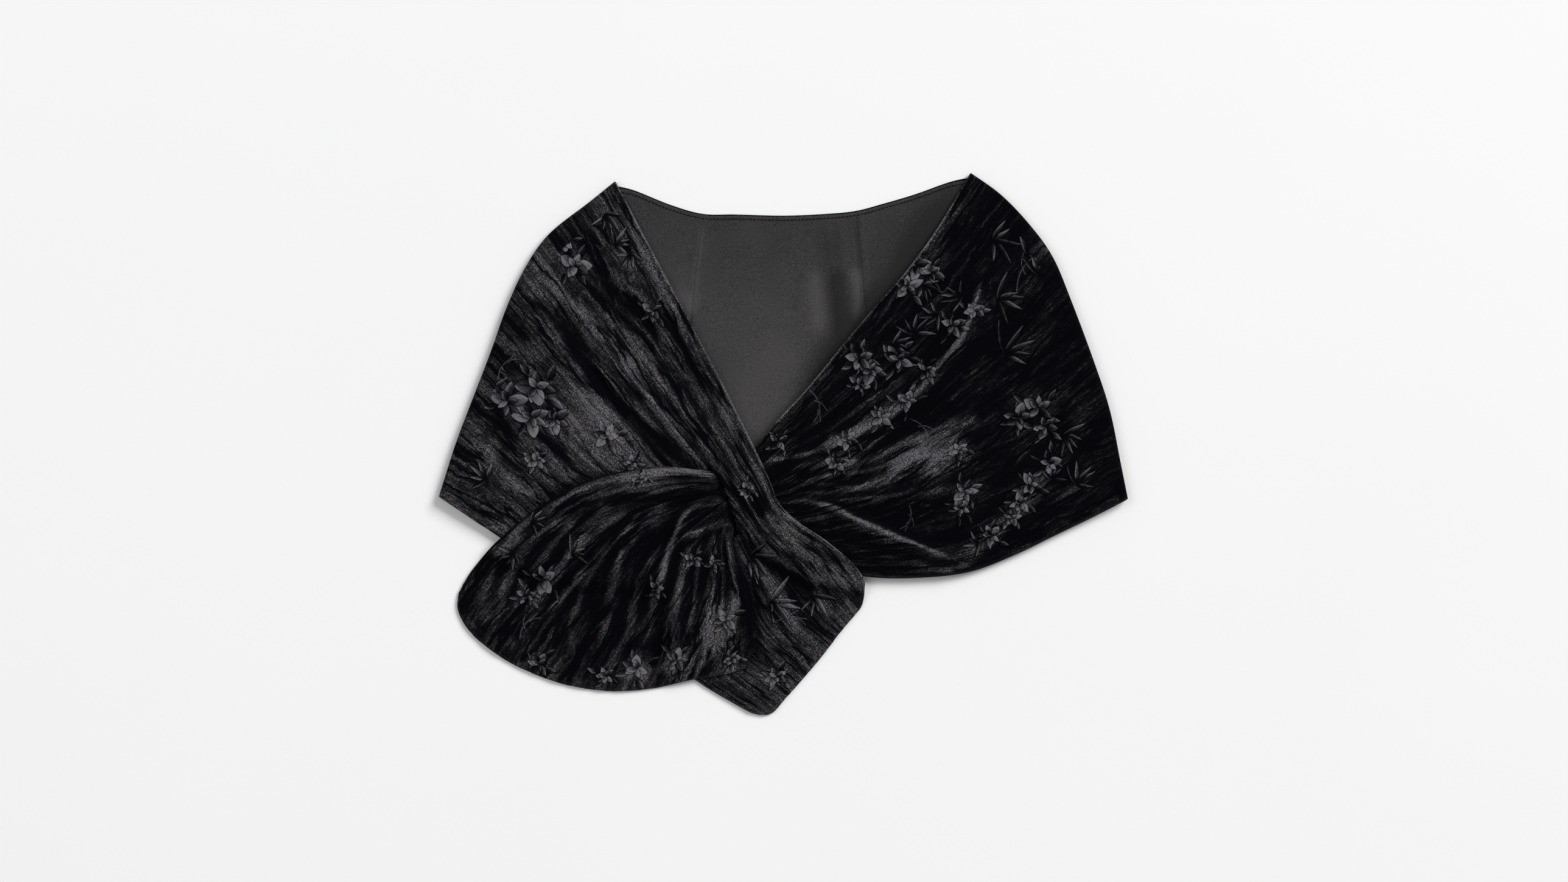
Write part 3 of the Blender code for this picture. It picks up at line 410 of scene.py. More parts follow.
# Lines of painted light and painted shade on the pulled end: a painted highlight on its rolled edge, and
# painted highlights and shade on its pleats.
PULLED_PAINTED_LIGHT_AND_SHADE = [Crease(*row) for row in (
    ([-50, -27, -72, -23, -95, -23, -122, -28, -150, -34], 0.5, 6, 5),
    ([-140, -32, -165, -38, -190, -47, -208, -57, -222, -70, -236, -87, -250, -108], 0.2, 4),
    ([-52, -34, -80, -33, -110, -36], -0.24, 1.3),
    ([-60, -29, -90, -28.5, -120, -33], -0.2, 1.1),
    ([-48, -39, -80, -36.5, -110, -39, -140, -42], 0.24, 1.6, 2),
    ([-150, -40, -178, -50, -204, -66], -0.1, 2),
    ([-46, -48, -80, -45, -122, -47, -160, -54], -0.16, 2.5, 3),
    ([-70, -53.5, -81, -57, -88, -67, -93, -80, -99, -95, -102, -110, -108, -130], 0.44, 2.2, 1.5),
    ([-100, -96, -104, -114, -111, -126], 0.18, 4, 2),
    ([-46, -49, -60, -51, -73, -54], 0.2, 1.2, 1.4),
    ([-87, -77, -66, -71, -48, -62], 0.3, 1.1, 1.3),
    ([-84, -66, -66, -61, -50, -56], 0.16, 1.3),
    ([-86, -82, -92, -96, -96, -116], -0.1, 4, 3),
    ([-99, -49, -107, -62, -113, -74], 0.26, 3.5, 4),
    ([-118, -54, -130, -70, -136, -85, -139, -112], 0.28, 2),
    ([-126, -54, -144, -64, -160, -78, -176, -92], 0.26, 4),
    ([-163, -52, -182, -61, -198, -74], 0.16, 2),
    ([-160, -76, -182, -95, -206, -113], 0.12, 5),
    ([-168, -106, -185, -125, -199, -141], 0.26, 2.5),
    ([-228, -110, -240, -130, -256, -152], 0.14, 3.5),
    ([-220, -112, -224, -128, -226, -146], 0.18, 3),
    ([-206, -140, -216, -156, -222, -172], 0.12, 3),
    ([-180, -150, -178, -166, -176, -184], 0.18, 2.2),
    ([-160, -168, -162, -190], 0.14, 1.6),
    ([-168, -100, -172, -128, -173, -156], 0.12, 1.8),
    ([-150, -84, -154, -120, -154, -160], 0.09, 1.5),
    ([-124, -80, -130, -118, -128, -158], 0.12, 1.6),
    ([-112, -140, -118, -152, -124, -164], 0.16, 2.5),
    ([-84, -100, -90, -124, -92, -150], 0.12, 2),
    ([-70, -74, -76, -88], 0.2, 1.4),
    ([-60, -66, -57, -88, -50, -112], 0.24, 1.5),
    ([-50, -66, -47, -84, -42, -106], 0.28, 1.6),
    ([-43, -64, -40, -84, -37, -104], 0.2, 1.2),
    ([-66, -136, -65, -160, -62, -186], -0.12, 1.4),
    ([-50, -138, -48, -160, -46, -182], -0.12, 1.2),
    ([-30, -90, -28, -130, -32, -172], -0.24, 4.5),
)]

LEFT_SPRAYS = [Spray(*row) for row in (
    (-186, 172, 50, 13), (-176, 150, 15, 15), (-150, 194, -68, 20, BAMBOO), (-142, 168, 30, 16, BAMBOO),
    (-128, 160, -100, 14, BAMBOO), (-208, 48, 10, 18), (-232, 36, 100, 17), (-212, 22, 40, 17),
    (-192, 20, -20, 13), (-244, 46, 120, 18, BAMBOO), (-240, 54, 60, 26, TWIG), (-110, 112, 30, 10),
    (-208, -14, 15, 11), (-148, 6, 80, 12), (-128, -16, 40, 8), (-250, -30, 150, 20, BAMBOO),
    (-30, -39, 60, 8), (-28, -94, -24, 24, BAMBOO), (-10, -132, -18, 26, BAMBOO), (-6, -150, 10, 26, TWIG),
    (-6, -196, 40, 11), (26, -128, -70, 18, BAMBOO),
)]
RIGHT_SPRAYS = [Spray(*row) for row in (
    (112, 150, 25, 15), (104, 132, 80, 14), (124, 144, 50, 12), (118, 134, -50, 18, BAMBOO),
    (142, 100, 10, 12), (110, 92, 90, 18, BAMBOO), (130, 108, 200, 16, BAMBOO), (64, 72, 30, 14),
    (73, 62, 70, 13), (64, 50, -10, 10), (92, 84, 0, 18, BAMBOO), (97, 71, 40, 14), (160, 112, 40, 10),
    (120, 62, 20, 11), (104, 36, 60, 11), (82, 22, 10, 10), (54, 3, 45, 10), (44, -16, 15, 9),
    (186, 76, 36, 28, BAMBOO), (180, 122, 8, 26, BAMBOO), (176, 172, -8, 24, BAMBOO),
    (204, 160, 38, 24, BAMBOO), (214, 142, 74, 22, BAMBOO), (190, 194, 40, 20, BAMBOO),
    (196, 128, 62, 46, TWIG), (150, 124, 172, 18, BAMBOO), (22, 45, -66, 28, TWIG), (106, 21, -42, 28, TWIG),
    (214, 30, 15, 15), (198, 22, 75, 13), (220, 14, 45, 12), (236, 8, -30, 22, BAMBOO), (223, -16, 30, 11),
    (226, -30, 80, 12, BAMBOO), (208, -34, 5, 11), (199, -50, 50, 10), (192, -62, 20, 9), (175, -77, 35, 10),
    (164, -84, 200, 12, BAMBOO), (152, -40, 5, 12), (148, -54, 40, 10), (246, -34, 60, 20, BAMBOO),
    (106, -52, -95, 22, TWIG), (147, -6, 60, 9), (-4, 2, 20, 9),
)]
PULLED_SPRAYS = [Spray(*row) for row in (
    (-202, -114, 20, 14), (-216, -128, 80, 11), (-178, -92, 30, 16, BAMBOO), (-206, -186, 40, 12),
    (-226, -92, 240, 16, BAMBOO), (-222, -164, 60, 26, TWIG), (-76, -98, 15, 8), (-59, -101, 50, 8),
    (-90, -182, 10, 12), (-124, -190, 70, 14), (-107, -122, 200, 9), (-150, -196, 30, 10),
    (-48, -148, 30, 11), (-44, -180, 50, 10), (-212, -66, 20, 14, BAMBOO), (-120, -30, 60, 8),
)]


def smooth_step(value: Array | float, low: float, high: float) -> Array:
    """A ramp from 0 at low to 1 at high, level at both ends."""
    share = np.clip((np.asarray(value, float) - low) / (high - low), 0.0, 1.0)
    return share * share * (3.0 - 2.0 * share)


def curve_through(points: Iterable[Sequence[float]], where: Array) -> Array:
    """A smooth curve through points.

    Args:
        points: The stops.
        where: Counts them: 0 at the first, 1 at the second.

    Returns:
        A point of the curve for each place asked for.
    """
    rows = np.array(points, float)
    where = np.clip(np.asarray(where, float), 0.0, len(rows) - 1.0)
    at = np.minimum(where.astype(int), len(rows) - 2)
    share = (where - at)[..., None]
    before, start = rows[np.maximum(at - 1, 0)], rows[at]
    end, after = rows[at + 1], rows[np.minimum(at + 2, len(rows) - 1)]
    square, cube = share**2, share**3
    return (
        (2 * cube - 3 * square + 1) * start
        + (cube - 2 * square + share) * (end - before) / 2.0
        + (3 * square - 2 * cube) * end
        + (cube - square) * (after - start) / 2.0
    )


def curve_by_length(points: Sequence[Sequence[float]], share: Array) -> Array:
    """The points at shares of the length of a smooth curve.

    Args:
        points: The stops of the curve.
        share: Shares of its length, from 0 to 1.

    Returns:
        One point for each share.
    """
    counts = np.linspace(0.0, len(points) - 1.0, CURVE_STEPS * len(points))
    dense = curve_through(points, counts)
    lengths = np.concatenate([[0.0], np.cumsum(np.linalg.norm(np.diff(dense, axis=0), axis=1))])
    return curve_through(points, np.interp(np.asarray(share) * lengths[-1], lengths, counts))


def lens(share: Array) -> Array:
    """The round height of a gathered bundle across its width, from 0 at its edges to 1."""
    return np.sqrt(np.clip(1.0 - (2.0 * np.clip(share, 0, 1) - 1.0) ** 2, 0.0, 1.0))


def crease_height(crease: Crease, spots: Array) -> Array:
    """How far one crease lifts the cloth.

    Args:
        crease: The crease.
        spots: Points on the plan, with x and y on the last axis.

    Returns:
        A height for each spot.
    """
    path = curve_by_length(np.reshape(crease.path, (-1, 2)), np.linspace(0.0, 1.0, CREASE_STOPS))
    along = np.gradient(path, axis=0)
    along /= np.linalg.norm(along, axis=1)[:, None]
    off = spots[..., None, :] - path
    nearest = np.argmin((off**2).sum(-1), axis=-1)
    near = np.take_along_axis(off, nearest[..., None, None], -2)[..., 0, :]
    way = along[nearest]
    side = way[..., 0] * near[..., 1] - way[..., 1] * near[..., 0]
    ahead = (way * near).sum(-1)
    width = np.where(side > 0, crease.left, crease.left if crease.right is None else crease.right)
    share = nearest / (len(path) - 1.0)
    fade = smooth_step(share, *CREASE_START) * smooth_step(1.0 - share, *CREASE_END)
    fall = np.exp(-np.abs(side / width) ** CREASE_ROUNDNESS)
    past = np.exp(-((ahead / (CREASE_OVERRUN * width)) ** 2))
    return crease.height * fade * (fall * past)


def relief_of(creases: Iterable[Crease], spots: Array) -> Array:
    """The height of several creases together."""
    return sum(crease_height(crease, spots) for crease in creases)


def gather_height(gather: Gather, along: Array, across: Array) -> Array:
    """How far a gather lifts the cloth.

    Args:
        gather: The gather.
        along: Shares of the way along the panel.
        across: Shares of the way across it.

    Returns:
        A height for each pair of shares.
    """
    fall = np.exp(-(((across - gather.across) / gather.width) ** 2))
    middle = (gather.end - gather.start) * GATHER_FADE
    fade = smooth_step(along, gather.start, gather.start + middle)
    fade = fade * (1.0 - smooth_step(along, gather.end - middle, gather.end))
    return gather.height * fall * fade


def tone_of(patches: Iterable[Patch], spots: Array) -> Array:
    """How much lighter or darker the pile lies, painted light and painted shade included.

    Args:
        patches: The lighter and darker places.
        spots: Points on the plan.

    Returns:
        A tone for each spot, 0 where no patch reaches.
    """
    tone = np.zeros(spots.shape[:-1])
    for patch in patches:
        turn = math.radians(patch.turn)
        off_x, off_y = spots[..., 0] - patch.x, spots[..., 1] - patch.y
        along = (off_x * math.cos(turn) + off_y * math.sin(turn)) / patch.reach
        across = (off_y * math.cos(turn) - off_x * math.sin(turn)) / patch.width
        tone += patch.tone * np.exp(-(along**2 + across**2))
    return tone


class Crush:
    """Fine uneven creasing of the pile, longer the way the cloth runs than across it."""

    CELLS = 101
    LAYERS = ((70.0, 9.0, 0.34), (38.0, 4.5, 0.22))
    DRIFT = 14.0
    DRIFT_CELL = (90.0, 60.0)

    def __init__(self, seed: int) -> None:
        """Draws the heights of the lattice that the creasing is read from."""
        self.table = np.random.default_rng(seed).random((self.CELLS, self.CELLS)) - 0.5

    def layer(self, along: Array, across: Array, length: float, width: float) -> Array:
        """One layer of creasing.

        Args:
            along: Millimetres along the cloth.
            across: Millimetres across it.
            length: How long its creases are.
            width: How wide they are.

        Returns:
            A height from -0.5 to 0.5 for each point.
        """
        u, v = along / length, across / width
        i, j = np.floor(u).astype(int), np.floor(v).astype(int)
        a, b = smooth_step(u - i, 0.0, 1.0), smooth_step(v - j, 0.0, 1.0)
        i, j = i % self.CELLS, j % self.CELLS
        i_next, j_next = (i + 1) % self.CELLS, (j + 1) % self.CELLS
        low = self.table[i, j] * (1 - a) + self.table[i_next, j] * a
        high = self.table[i, j_next] * (1 - a) + self.table[i_next, j_next] * a
        return low * (1 - b) + high * b

    def relief(self, along: Array, across: Array) -> Array:
        """All layers together, in millimetres."""
        drift = self.DRIFT * self.layer(along, across, *self.DRIFT_CELL)
        return sum(2.0 * rise * self.layer(along, across + drift, length, width)
                   for length, width, rise in self.LAYERS)


@dataclass
class Cloth:
    """A panel's points as grids, with what the pile needs to know at each.

    Attributes:
        upper: Points of the top face.
        lower: Points of the underside.
        pile: Metres along the cloth, metres across it and the tone of the pile, with its painted light and
            painted shade.
        hem: Metres to the nearest hemmed edge.
    """

    upper: Array
    lower: Array
    pile: Array
    hem: Array

    def after(self, other: Self) -> Self:
        """This cloth with another's rows in front of its own."""
        names = ("upper", "lower", "pile", "hem")
        return Cloth(*(np.concatenate([getattr(other, name), getattr(self, name)]) for name in names))


def grid_faces(numbers: Array) -> Array:
    """The quads between the numbered points of a grid, as rows of four numbers."""
    corners = (numbers[:-1, :-1], numbers[:-1, 1:], numbers[1:, 1:], numbers[1:, :-1])
    return np.stack([corner.ravel() for corner in corners], axis=-1)


class Surface:
    """An upper face that other things lie on."""

    def __init__(self, points: Array, pile: Array | None = None) -> None:
        """Takes a face.

        Args:
            points: A grid of its points, in millimetres.
            pile: The pile values that go with them.
        """
        self.points = points.reshape(-1, 3)
        self.faces = grid_faces(np.arange(len(self.points)).reshape(points.shape[:2]))
        self.pile = None if pile is None else pile.reshape(-1, 3)
        self.tree = BVHTree.FromPolygons(self.points.tolist(), self.faces.tolist())
        self.low, self.high = self.points.min(axis=0), self.points.max(axis=0)

    def under(self, x: float, y: float) -> tuple[Vector | None, int | None]:
        """The first point met on the way down at x, y, and its face."""
        spot, _, face, _ = self.tree.ray_cast(Vector((x, y, self.high[2] + 1.0)), Vector((0, 0, -1)))
        return spot, face

    def pile_at(self, spot: Vector, face: int) -> Array:
        """The pile values at a point of a face."""
        corners = self.faces[face]
        weights = poly_3d_calc([Vector(self.points[i]) for i in corners], spot)
        return np.array(weights) @ self.pile[corners]


class HeightMap:
    """The highest of some surfaces, as a grid of heights in millimetres."""

    EDGE = 1.001

    def __init__(self, surfaces: Iterable[Surface], cells: int) -> None:
        """Reads the surfaces, widens every high place and softens its edge.

        Args:
            surfaces: The surfaces.
            cells: By how many cells.
        """
        self.x = np.arange(-MAP_REACH_X, MAP_REACH_X + 1, MAP_STEP)
        self.y = np.arange(-MAP_REACH_Y, MAP_REACH_Y + 1, MAP_STEP)
        self.heights = np.zeros((len(self.x), len(self.y)))
        for surface in surfaces:
            self.add(surface)
        for pick in [np.max] * cells + [np.mean] * cells:
            self.heights = self.near(pick)

    def add(self, surface: Surface) -> None:
        """Raises the map to one surface.

        Args:
            surface: The surface.
        """
        for i in np.nonzero((self.x >= surface.low[0]) & (self.x <= surface.high[0]))[0]:
            for j in np.nonzero((self.y >= surface.low[1]) & (self.y <= surface.high[1]))[0]:
                spot = surface.under(self.x[i], self.y[j])[0]
                if spot is not None:
                    self.heights[i, j] = max(self.heights[i, j], spot.z)

    def near(self, pick: Callable[..., Array]) -> Array:
        """The highest or the mean of each height and the eight beside it."""
        wide, tall = self.heights.shape
        padded = np.pad(self.heights, 1, mode="edge")
        return pick([padded[i:i + wide, j:j + tall] for i in range(3) for j in range(3)], axis=0)

    def at(self, spots: Array) -> Array:
        """The height under each spot of the plan.

        Args:
            spots: Points with x and y on the last axis.

        Returns:
            One height for each.
        """
        across = np.clip((spots[..., 0] + MAP_REACH_X) / MAP_STEP, 0, len(self.x) - self.EDGE)
        up = np.clip((spots[..., 1] + MAP_REACH_Y) / MAP_STEP, 0, len(self.y) - self.EDGE)
        i, j = across.astype(int), up.astype(int)
        a, b = across - i, up - j
        low = self.heights[i, j] * (1 - a) + self.heights[i + 1, j] * a
        high = self.heights[i, j + 1] * (1 - a) + self.heights[i + 1, j + 1] * a
        return low * (1 - b) + high * b

    def carry(self, spots: Array, base: Array, relief: Array,
              extra_wall: Array | float = 0.0) -> tuple[Array, Array]:
        """Lays a panel on the map, with its creases on top.

        Args:
            spots: The panel's points on the plan.
            base: Height of its top face where nothing lifts it.
            relief: Height of its creases.
            extra_wall: What the wall has beyond its own thickness.

        Returns:
            The points of its top face and of its underside.
        """
        under = self.at(spots)
        lowest = under + LAYER_GAP + VELVET_WALL
        settled = (base + lowest + np.hypot(base - lowest, BLEND)) / 2.0
        tops = np.maximum(settled + relief, lowest)
        lows = np.maximum(tops - VELVET_WALL - extra_wall, under + SEAM_GAP)
        lows = np.where((under < SEAM_GAP) & (lows < REST_LIFT), 0.0, lows)
        return np.dstack([spots, tops]), np.dstack([spots, lows])


@dataclass
class Strip:
    """A panel as a strip of sections, each from its neck edge to its hem edge.

    Attributes:
        sections: The sections in order.
        start_edge: Stops of the first edge where it isn't straight.
        end_edge: Stops of the last edge where it isn't straight.
        reach: How far along the strip those edges still bend it.
        full_width: Width of the cloth before it was gathered, in millimetres.
    """

    sections: Sequence[Section]
    start_edge: Sequence[tuple[float, float]] | None = None
    end_edge: Sequence[tuple[float, float]] | None = None
    reach: float = 0.45
    full_width: float = 300.0
    EDGE_POWER = 1.6
    FIRST_STEP = 0.02

    @property
    def count(self) -> int:
        """How many gaps there are between sections."""
        return len(self.sections) - 1

    def plan(self, along: Array | float, across: Array | float) -> Array:
        """Where the cloth lies on the plan.

        Args:
            along: Shares of the way along the strip.
            across: Shares of the way across it.

        Returns:
            An x, y for each pair of shares.
        """
        along, across = np.broadcast_arrays(np.asarray(along, float), np.asarray(across, float))
        share = across[..., None]
        row = curve_through(self.sections, along * self.count)
        spot = row[..., :2] * (1 - share) + row[..., 2:] * share
        for edge, index, away in ((self.start_edge, 0, along), (self.end_edge, -1, 1 - along)):
            if edge is None:
                continue
            ends = np.array(self.sections[index], float)
            bulge = curve_by_length(edge, across) - ends[:2] * (1 - share) - ends[2:] * share
            spot = spot + bulge * (np.clip(1 - away / self.reach, 0, 1) ** self.EDGE_POWER)[..., None]
        return spot

    def inward(self, across: Array) -> Array:
        """The direction into the panel at its start edge."""
        step = self.plan(self.FIRST_STEP, across) - self.plan(0.0, across)
        return step / np.linalg.norm(step, axis=-1)[..., None]

    def pile(self, spots: Array, across: Array) -> Array:
        """Metres along and across the cloth, and room for its tone.

        Args:
            spots: The grid of points on the plan.
            across: Shares of the way across.

        Returns:
            A grid of the three values.
        """
        steps = np.linalg.norm(np.diff(spots, axis=0), axis=-1).mean(axis=1)
        along = np.concatenate([[0.0], np.cumsum(steps)])[:, None] + 0.0 * across
        return np.dstack([along * MM, across * self.full_width * MM + 0.0 * along, 0.0 * along])


def fold_sizes(across: Array) -> tuple[Array, Array]:
    """Radius of the side fold and width of the lip under it, from neck to hem."""
    share = smooth_step(across, *FOLD_GROWTH)
    return tuple(neck + (hem - neck) * share for neck, hem in (FOLD_RADII, LIP_WIDTHS))


def fold_tops(along: Array, across: Array) -> Array:
    """Base height of a front: the top of its side fold, settling to where it lies on the back."""
    radius = fold_sizes(across)[0]
    return FRONT_TOP + (2.0 * radius - FRONT_TOP) * (1.0 - smooth_step(along, *FOLD_SETTLING))


def back_side(strip: Strip, across: Array, inset: float) -> Array:
    """The back's side edge, beside a front's lip, taken in by an inset."""
    lip = fold_sizes(across)[1]
    return strip.plan(0.0, across) + strip.inward(across) * (lip + SEAM_GAP + inset)[:, None]


def side_fold(strip: Strip, cloth: Cloth, across: Array) -> Cloth:
    """A front's lip and side fold, joined to the rest of the front.

    Args:
        strip: The front's strip.
        cloth: The front from its first row on.
        across: Shares of its width at the columns.

    Returns:
        The whole front.
    """
    start, inward = strip.plan(0.0, across), strip.inward(across)
    radius, lip = fold_sizes(across)
    under = start + inward * lip[:, None]
    outer = [np.column_stack([under, 0.0 * lip])]
    inner = [np.column_stack([under, 0.0 * lip + VELVET_WALL])]
    length = [-(np.pi * radius + lip)]
    for turn in np.linspace(-np.pi / 2, np.pi / 2, FOLD_STEPS):
        length.append(-(np.pi / 2 - turn) * radius)
        for points, reach in ((outer, radius), (inner, radius - VELVET_WALL)):
            away = (radius - reach * np.cos(turn))[:, None]
            points.append(np.column_stack([start + inward * away, radius + reach * np.sin(turn)]))
    pile = np.repeat(cloth.pile[:1], len(length), axis=0)
    pile[..., 0] += np.array(length) * MM
    hem = np.repeat(cloth.hem[:1], len(length), axis=0)
    return cloth.after(Cloth(np.array(outer), np.array(inner), pile, hem))


def painted_crest_shading(heights: Array) -> Array:
    """Painted light on crests and painted shade in valleys, as a tone for the pile.

    Args:
        heights: The top face's heights, columns across the panel.

    Returns:
        A tone for each point.
    """
    tone = np.zeros_like(heights)
    for step, share in CREST_STEPS:
        padded = np.pad(heights, ((0, 0), (step, step)), mode="edge")
        crest = heights - (padded[:, 2 * step:] + padded[:, :-2 * step]) / 2.0
        tone += share * np.tanh(crest / (CREST_SLOPE * step))
    return tone


def to_end(spots: Array, axis: int) -> Array:
    """How far each point of a grid is from its last row or column.

    Args:
        spots: The grid on the plan.
        axis: 0 for the last row, 1 for the last column.

    Returns:
        A distance for each point.
    """
    steps = np.linalg.norm(np.diff(spots, axis=axis), axis=-1)
    pad = [(0, 0), (0, 0)]
    pad[axis] = (0, 1)
    return np.flip(np.cumsum(np.flip(np.pad(steps, pad), axis), axis=axis), axis)


def hem_line(distance: Array) -> Array:
    """1 along a hem's stitching and 0 away from it, for distances from the hem's edge."""
    return np.exp(-(((distance - HEM_WIDTH) / HEM_STITCH_WIDTH) ** 2))


def edge_tone(hem: Array, neck: Array) -> Array:
    """The tone of a panel's hem and of the thin lit line along its neck edge.

    Args:
        hem: Distance from the hem.
        neck: Distance from the neck edge.

    Returns:
        A tone for each point.
    """
    band = HEM_BAND_TONE * (1.0 - smooth_step(hem, HEM_WIDTH - HEM_TURN, HEM_WIDTH))
    lit_line = NECK_LINE_TONE * np.exp(-((neck / NECK_LINE_WIDTH) ** 2))
    return band + HEM_STITCH_TONE * hem_line(hem) + lit_line


class Graph:
    """The nodes of one material, with short ways to add to them."""

    def __init__(self, name: str) -> None:
        """Makes a material with only its Principled shader."""
        self.material = bpy.data.materials.new(name)
        self.material.use_nodes = True
        self.tree = self.material.node_tree
        self.shader = self.tree.nodes["Principled BSDF"]

    def node(self, kind: str, settings: dict | None = None, inputs: dict | None = None) -> bpy.types.Node:
        """Adds a node.

        Args:
            kind: Its type.
            settings: Properties of the node.
            inputs: What its sockets are fed with.

        Returns:
            The node.
        """
        node = self.tree.nodes.new(kind)
        for name, value in (settings or {}).items():
            setattr(node, name, value)
        self.feed(node, inputs or {})
        return node

    def feed(self, node: bpy.types.Node, inputs: dict) -> None:
        """Feeds a node's sockets.

        Args:
            node: The node.
            inputs: Links or plain values, by the sockets' identifiers.
        """
        sockets = {socket.identifier: socket for socket in node.inputs}
        for name, value in inputs.items():
            value = value.socket if isinstance(value, Value) else value
            if isinstance(value, Socket):
                self.tree.links.new(value, sockets[name])
            else:
                sockets[name].default_value = value

    def math(self, operation: str, *terms: "Value | float") -> "Value":
        """One sum, of one or two terms."""
        names = ("Value", "Value_001")
        node = self.node("ShaderNodeMath", {"operation": operation}, dict(zip(names, terms)))
        return Value(self, node.outputs[0])

    def attribute(self, name: str) -> bpy.types.Node:
        """The node that reads one of the mesh's own attributes."""
        return self.node("ShaderNodeAttribute", {"attribute_name": name})

    def split(self, vector: Socket) -> "list[Value]":
        """A vector's three numbers."""
        node = self.node("ShaderNodeSeparateXYZ", {}, {"Vector": vector})
        return [Value(self, socket) for socket in node.outputs]

    def join(self, x: "Value | float", y: "Value | float", z: "Value | float") -> Socket:
        """A vector of three numbers."""
        return self.node("ShaderNodeCombineXYZ", {}, {"X": x, "Y": y, "Z": z}).outputs[0]

    def noise(self, vector: Socket, scale: float, detail: float = 2.0, roughness: float = 0.5) -> "Value":
        """Soft noise from 0 to 1, with finer layers whose strength is the roughness."""
        inputs = {"Vector": vector, "Scale": scale, "Detail": detail, "Roughness": roughness}
        return Value(self, self.node("ShaderNodeTexNoise", {}, inputs).outputs[0])

    def colour(self, share: "Value", first: object, second: object) -> Socket:
        """A colour between two others."""
        inputs = {"Factor_Float": share, "A_Color": first, "B_Color": second}
        node = self.node("ShaderNodeMix", {"data_type": "RGBA"}, inputs)
        return next(socket for socket in node.outputs if socket.identifier == "Result_Color")

    def bump(self, height: "Value", distance: float, strength: float) -> Socket:
        """The normal of a surface with some fine relief."""
        inputs = {"Height": height, "Distance": distance, "Strength": strength}
        return self.node("ShaderNodeBump", {}, inputs).outputs[0]


class Value:
    """A number in a shader, whose sums are written as plain Python."""

    def __init__(self, graph: Graph, socket: Socket) -> None:
        """Wraps an output socket."""
        self.graph = graph
        self.socket = socket

    def __add__(self, other: "Value | float") -> "Value":
        """The sum of two numbers."""
        return self.graph.math("ADD", self, other)

    __radd__ = __add__

    def __sub__(self, other: "Value | float") -> "Value":
        """The difference of two numbers."""
        return self.graph.math("SUBTRACT", self, other)

    def __rsub__(self, other: float) -> "Value":
        """The difference of two numbers."""
        return self.graph.math("SUBTRACT", other, self)

    def __mul__(self, other: "Value | float") -> "Value":
        """The product of two numbers."""
        return self.graph.math("MULTIPLY", self, other)

    __rmul__ = __mul__

    def __truediv__(self, other: "Value | float") -> "Value":
        """One number divided by another."""
        return self.graph.math("DIVIDE", self, other)

    def __abs__(self) -> "Value":
        """The number without its sign."""
        return self.graph.math("ABSOLUTE", self)

    def smooth(self, low: float, high: float) -> "Value":
        """A soft ramp from 0 at low to 1 at high."""
        inputs = {"Value": self, "From Min": low, "From Max": high}
        settings = {"interpolation_type": "SMOOTHSTEP"}
        return Value(self.graph, self.graph.node("ShaderNodeMapRange", settings, inputs).outputs[0])


class Streak(NamedTuple):
    """Noise drawn out the way the cloth runs.

    Its run is how often it changes in a metre along the cloth, and its width is in metres. Its
    layer keeps it apart from the others. Its tone is how much it lightens the pile.
    """

    run: float
    width: float
    layer: float
    tone: float = 1.0
    detail: float = 2.0
    roughness: float = 0.6
    scale: float = 1.0

    def noise(self, graph: Graph, along: Value, across: Value) -> Value:
        """The streaks, from 0 to 1."""
        spot = graph.join(along * self.run, across / self.width, self.layer)
        return graph.noise(spot, self.scale, self.detail, self.roughness)


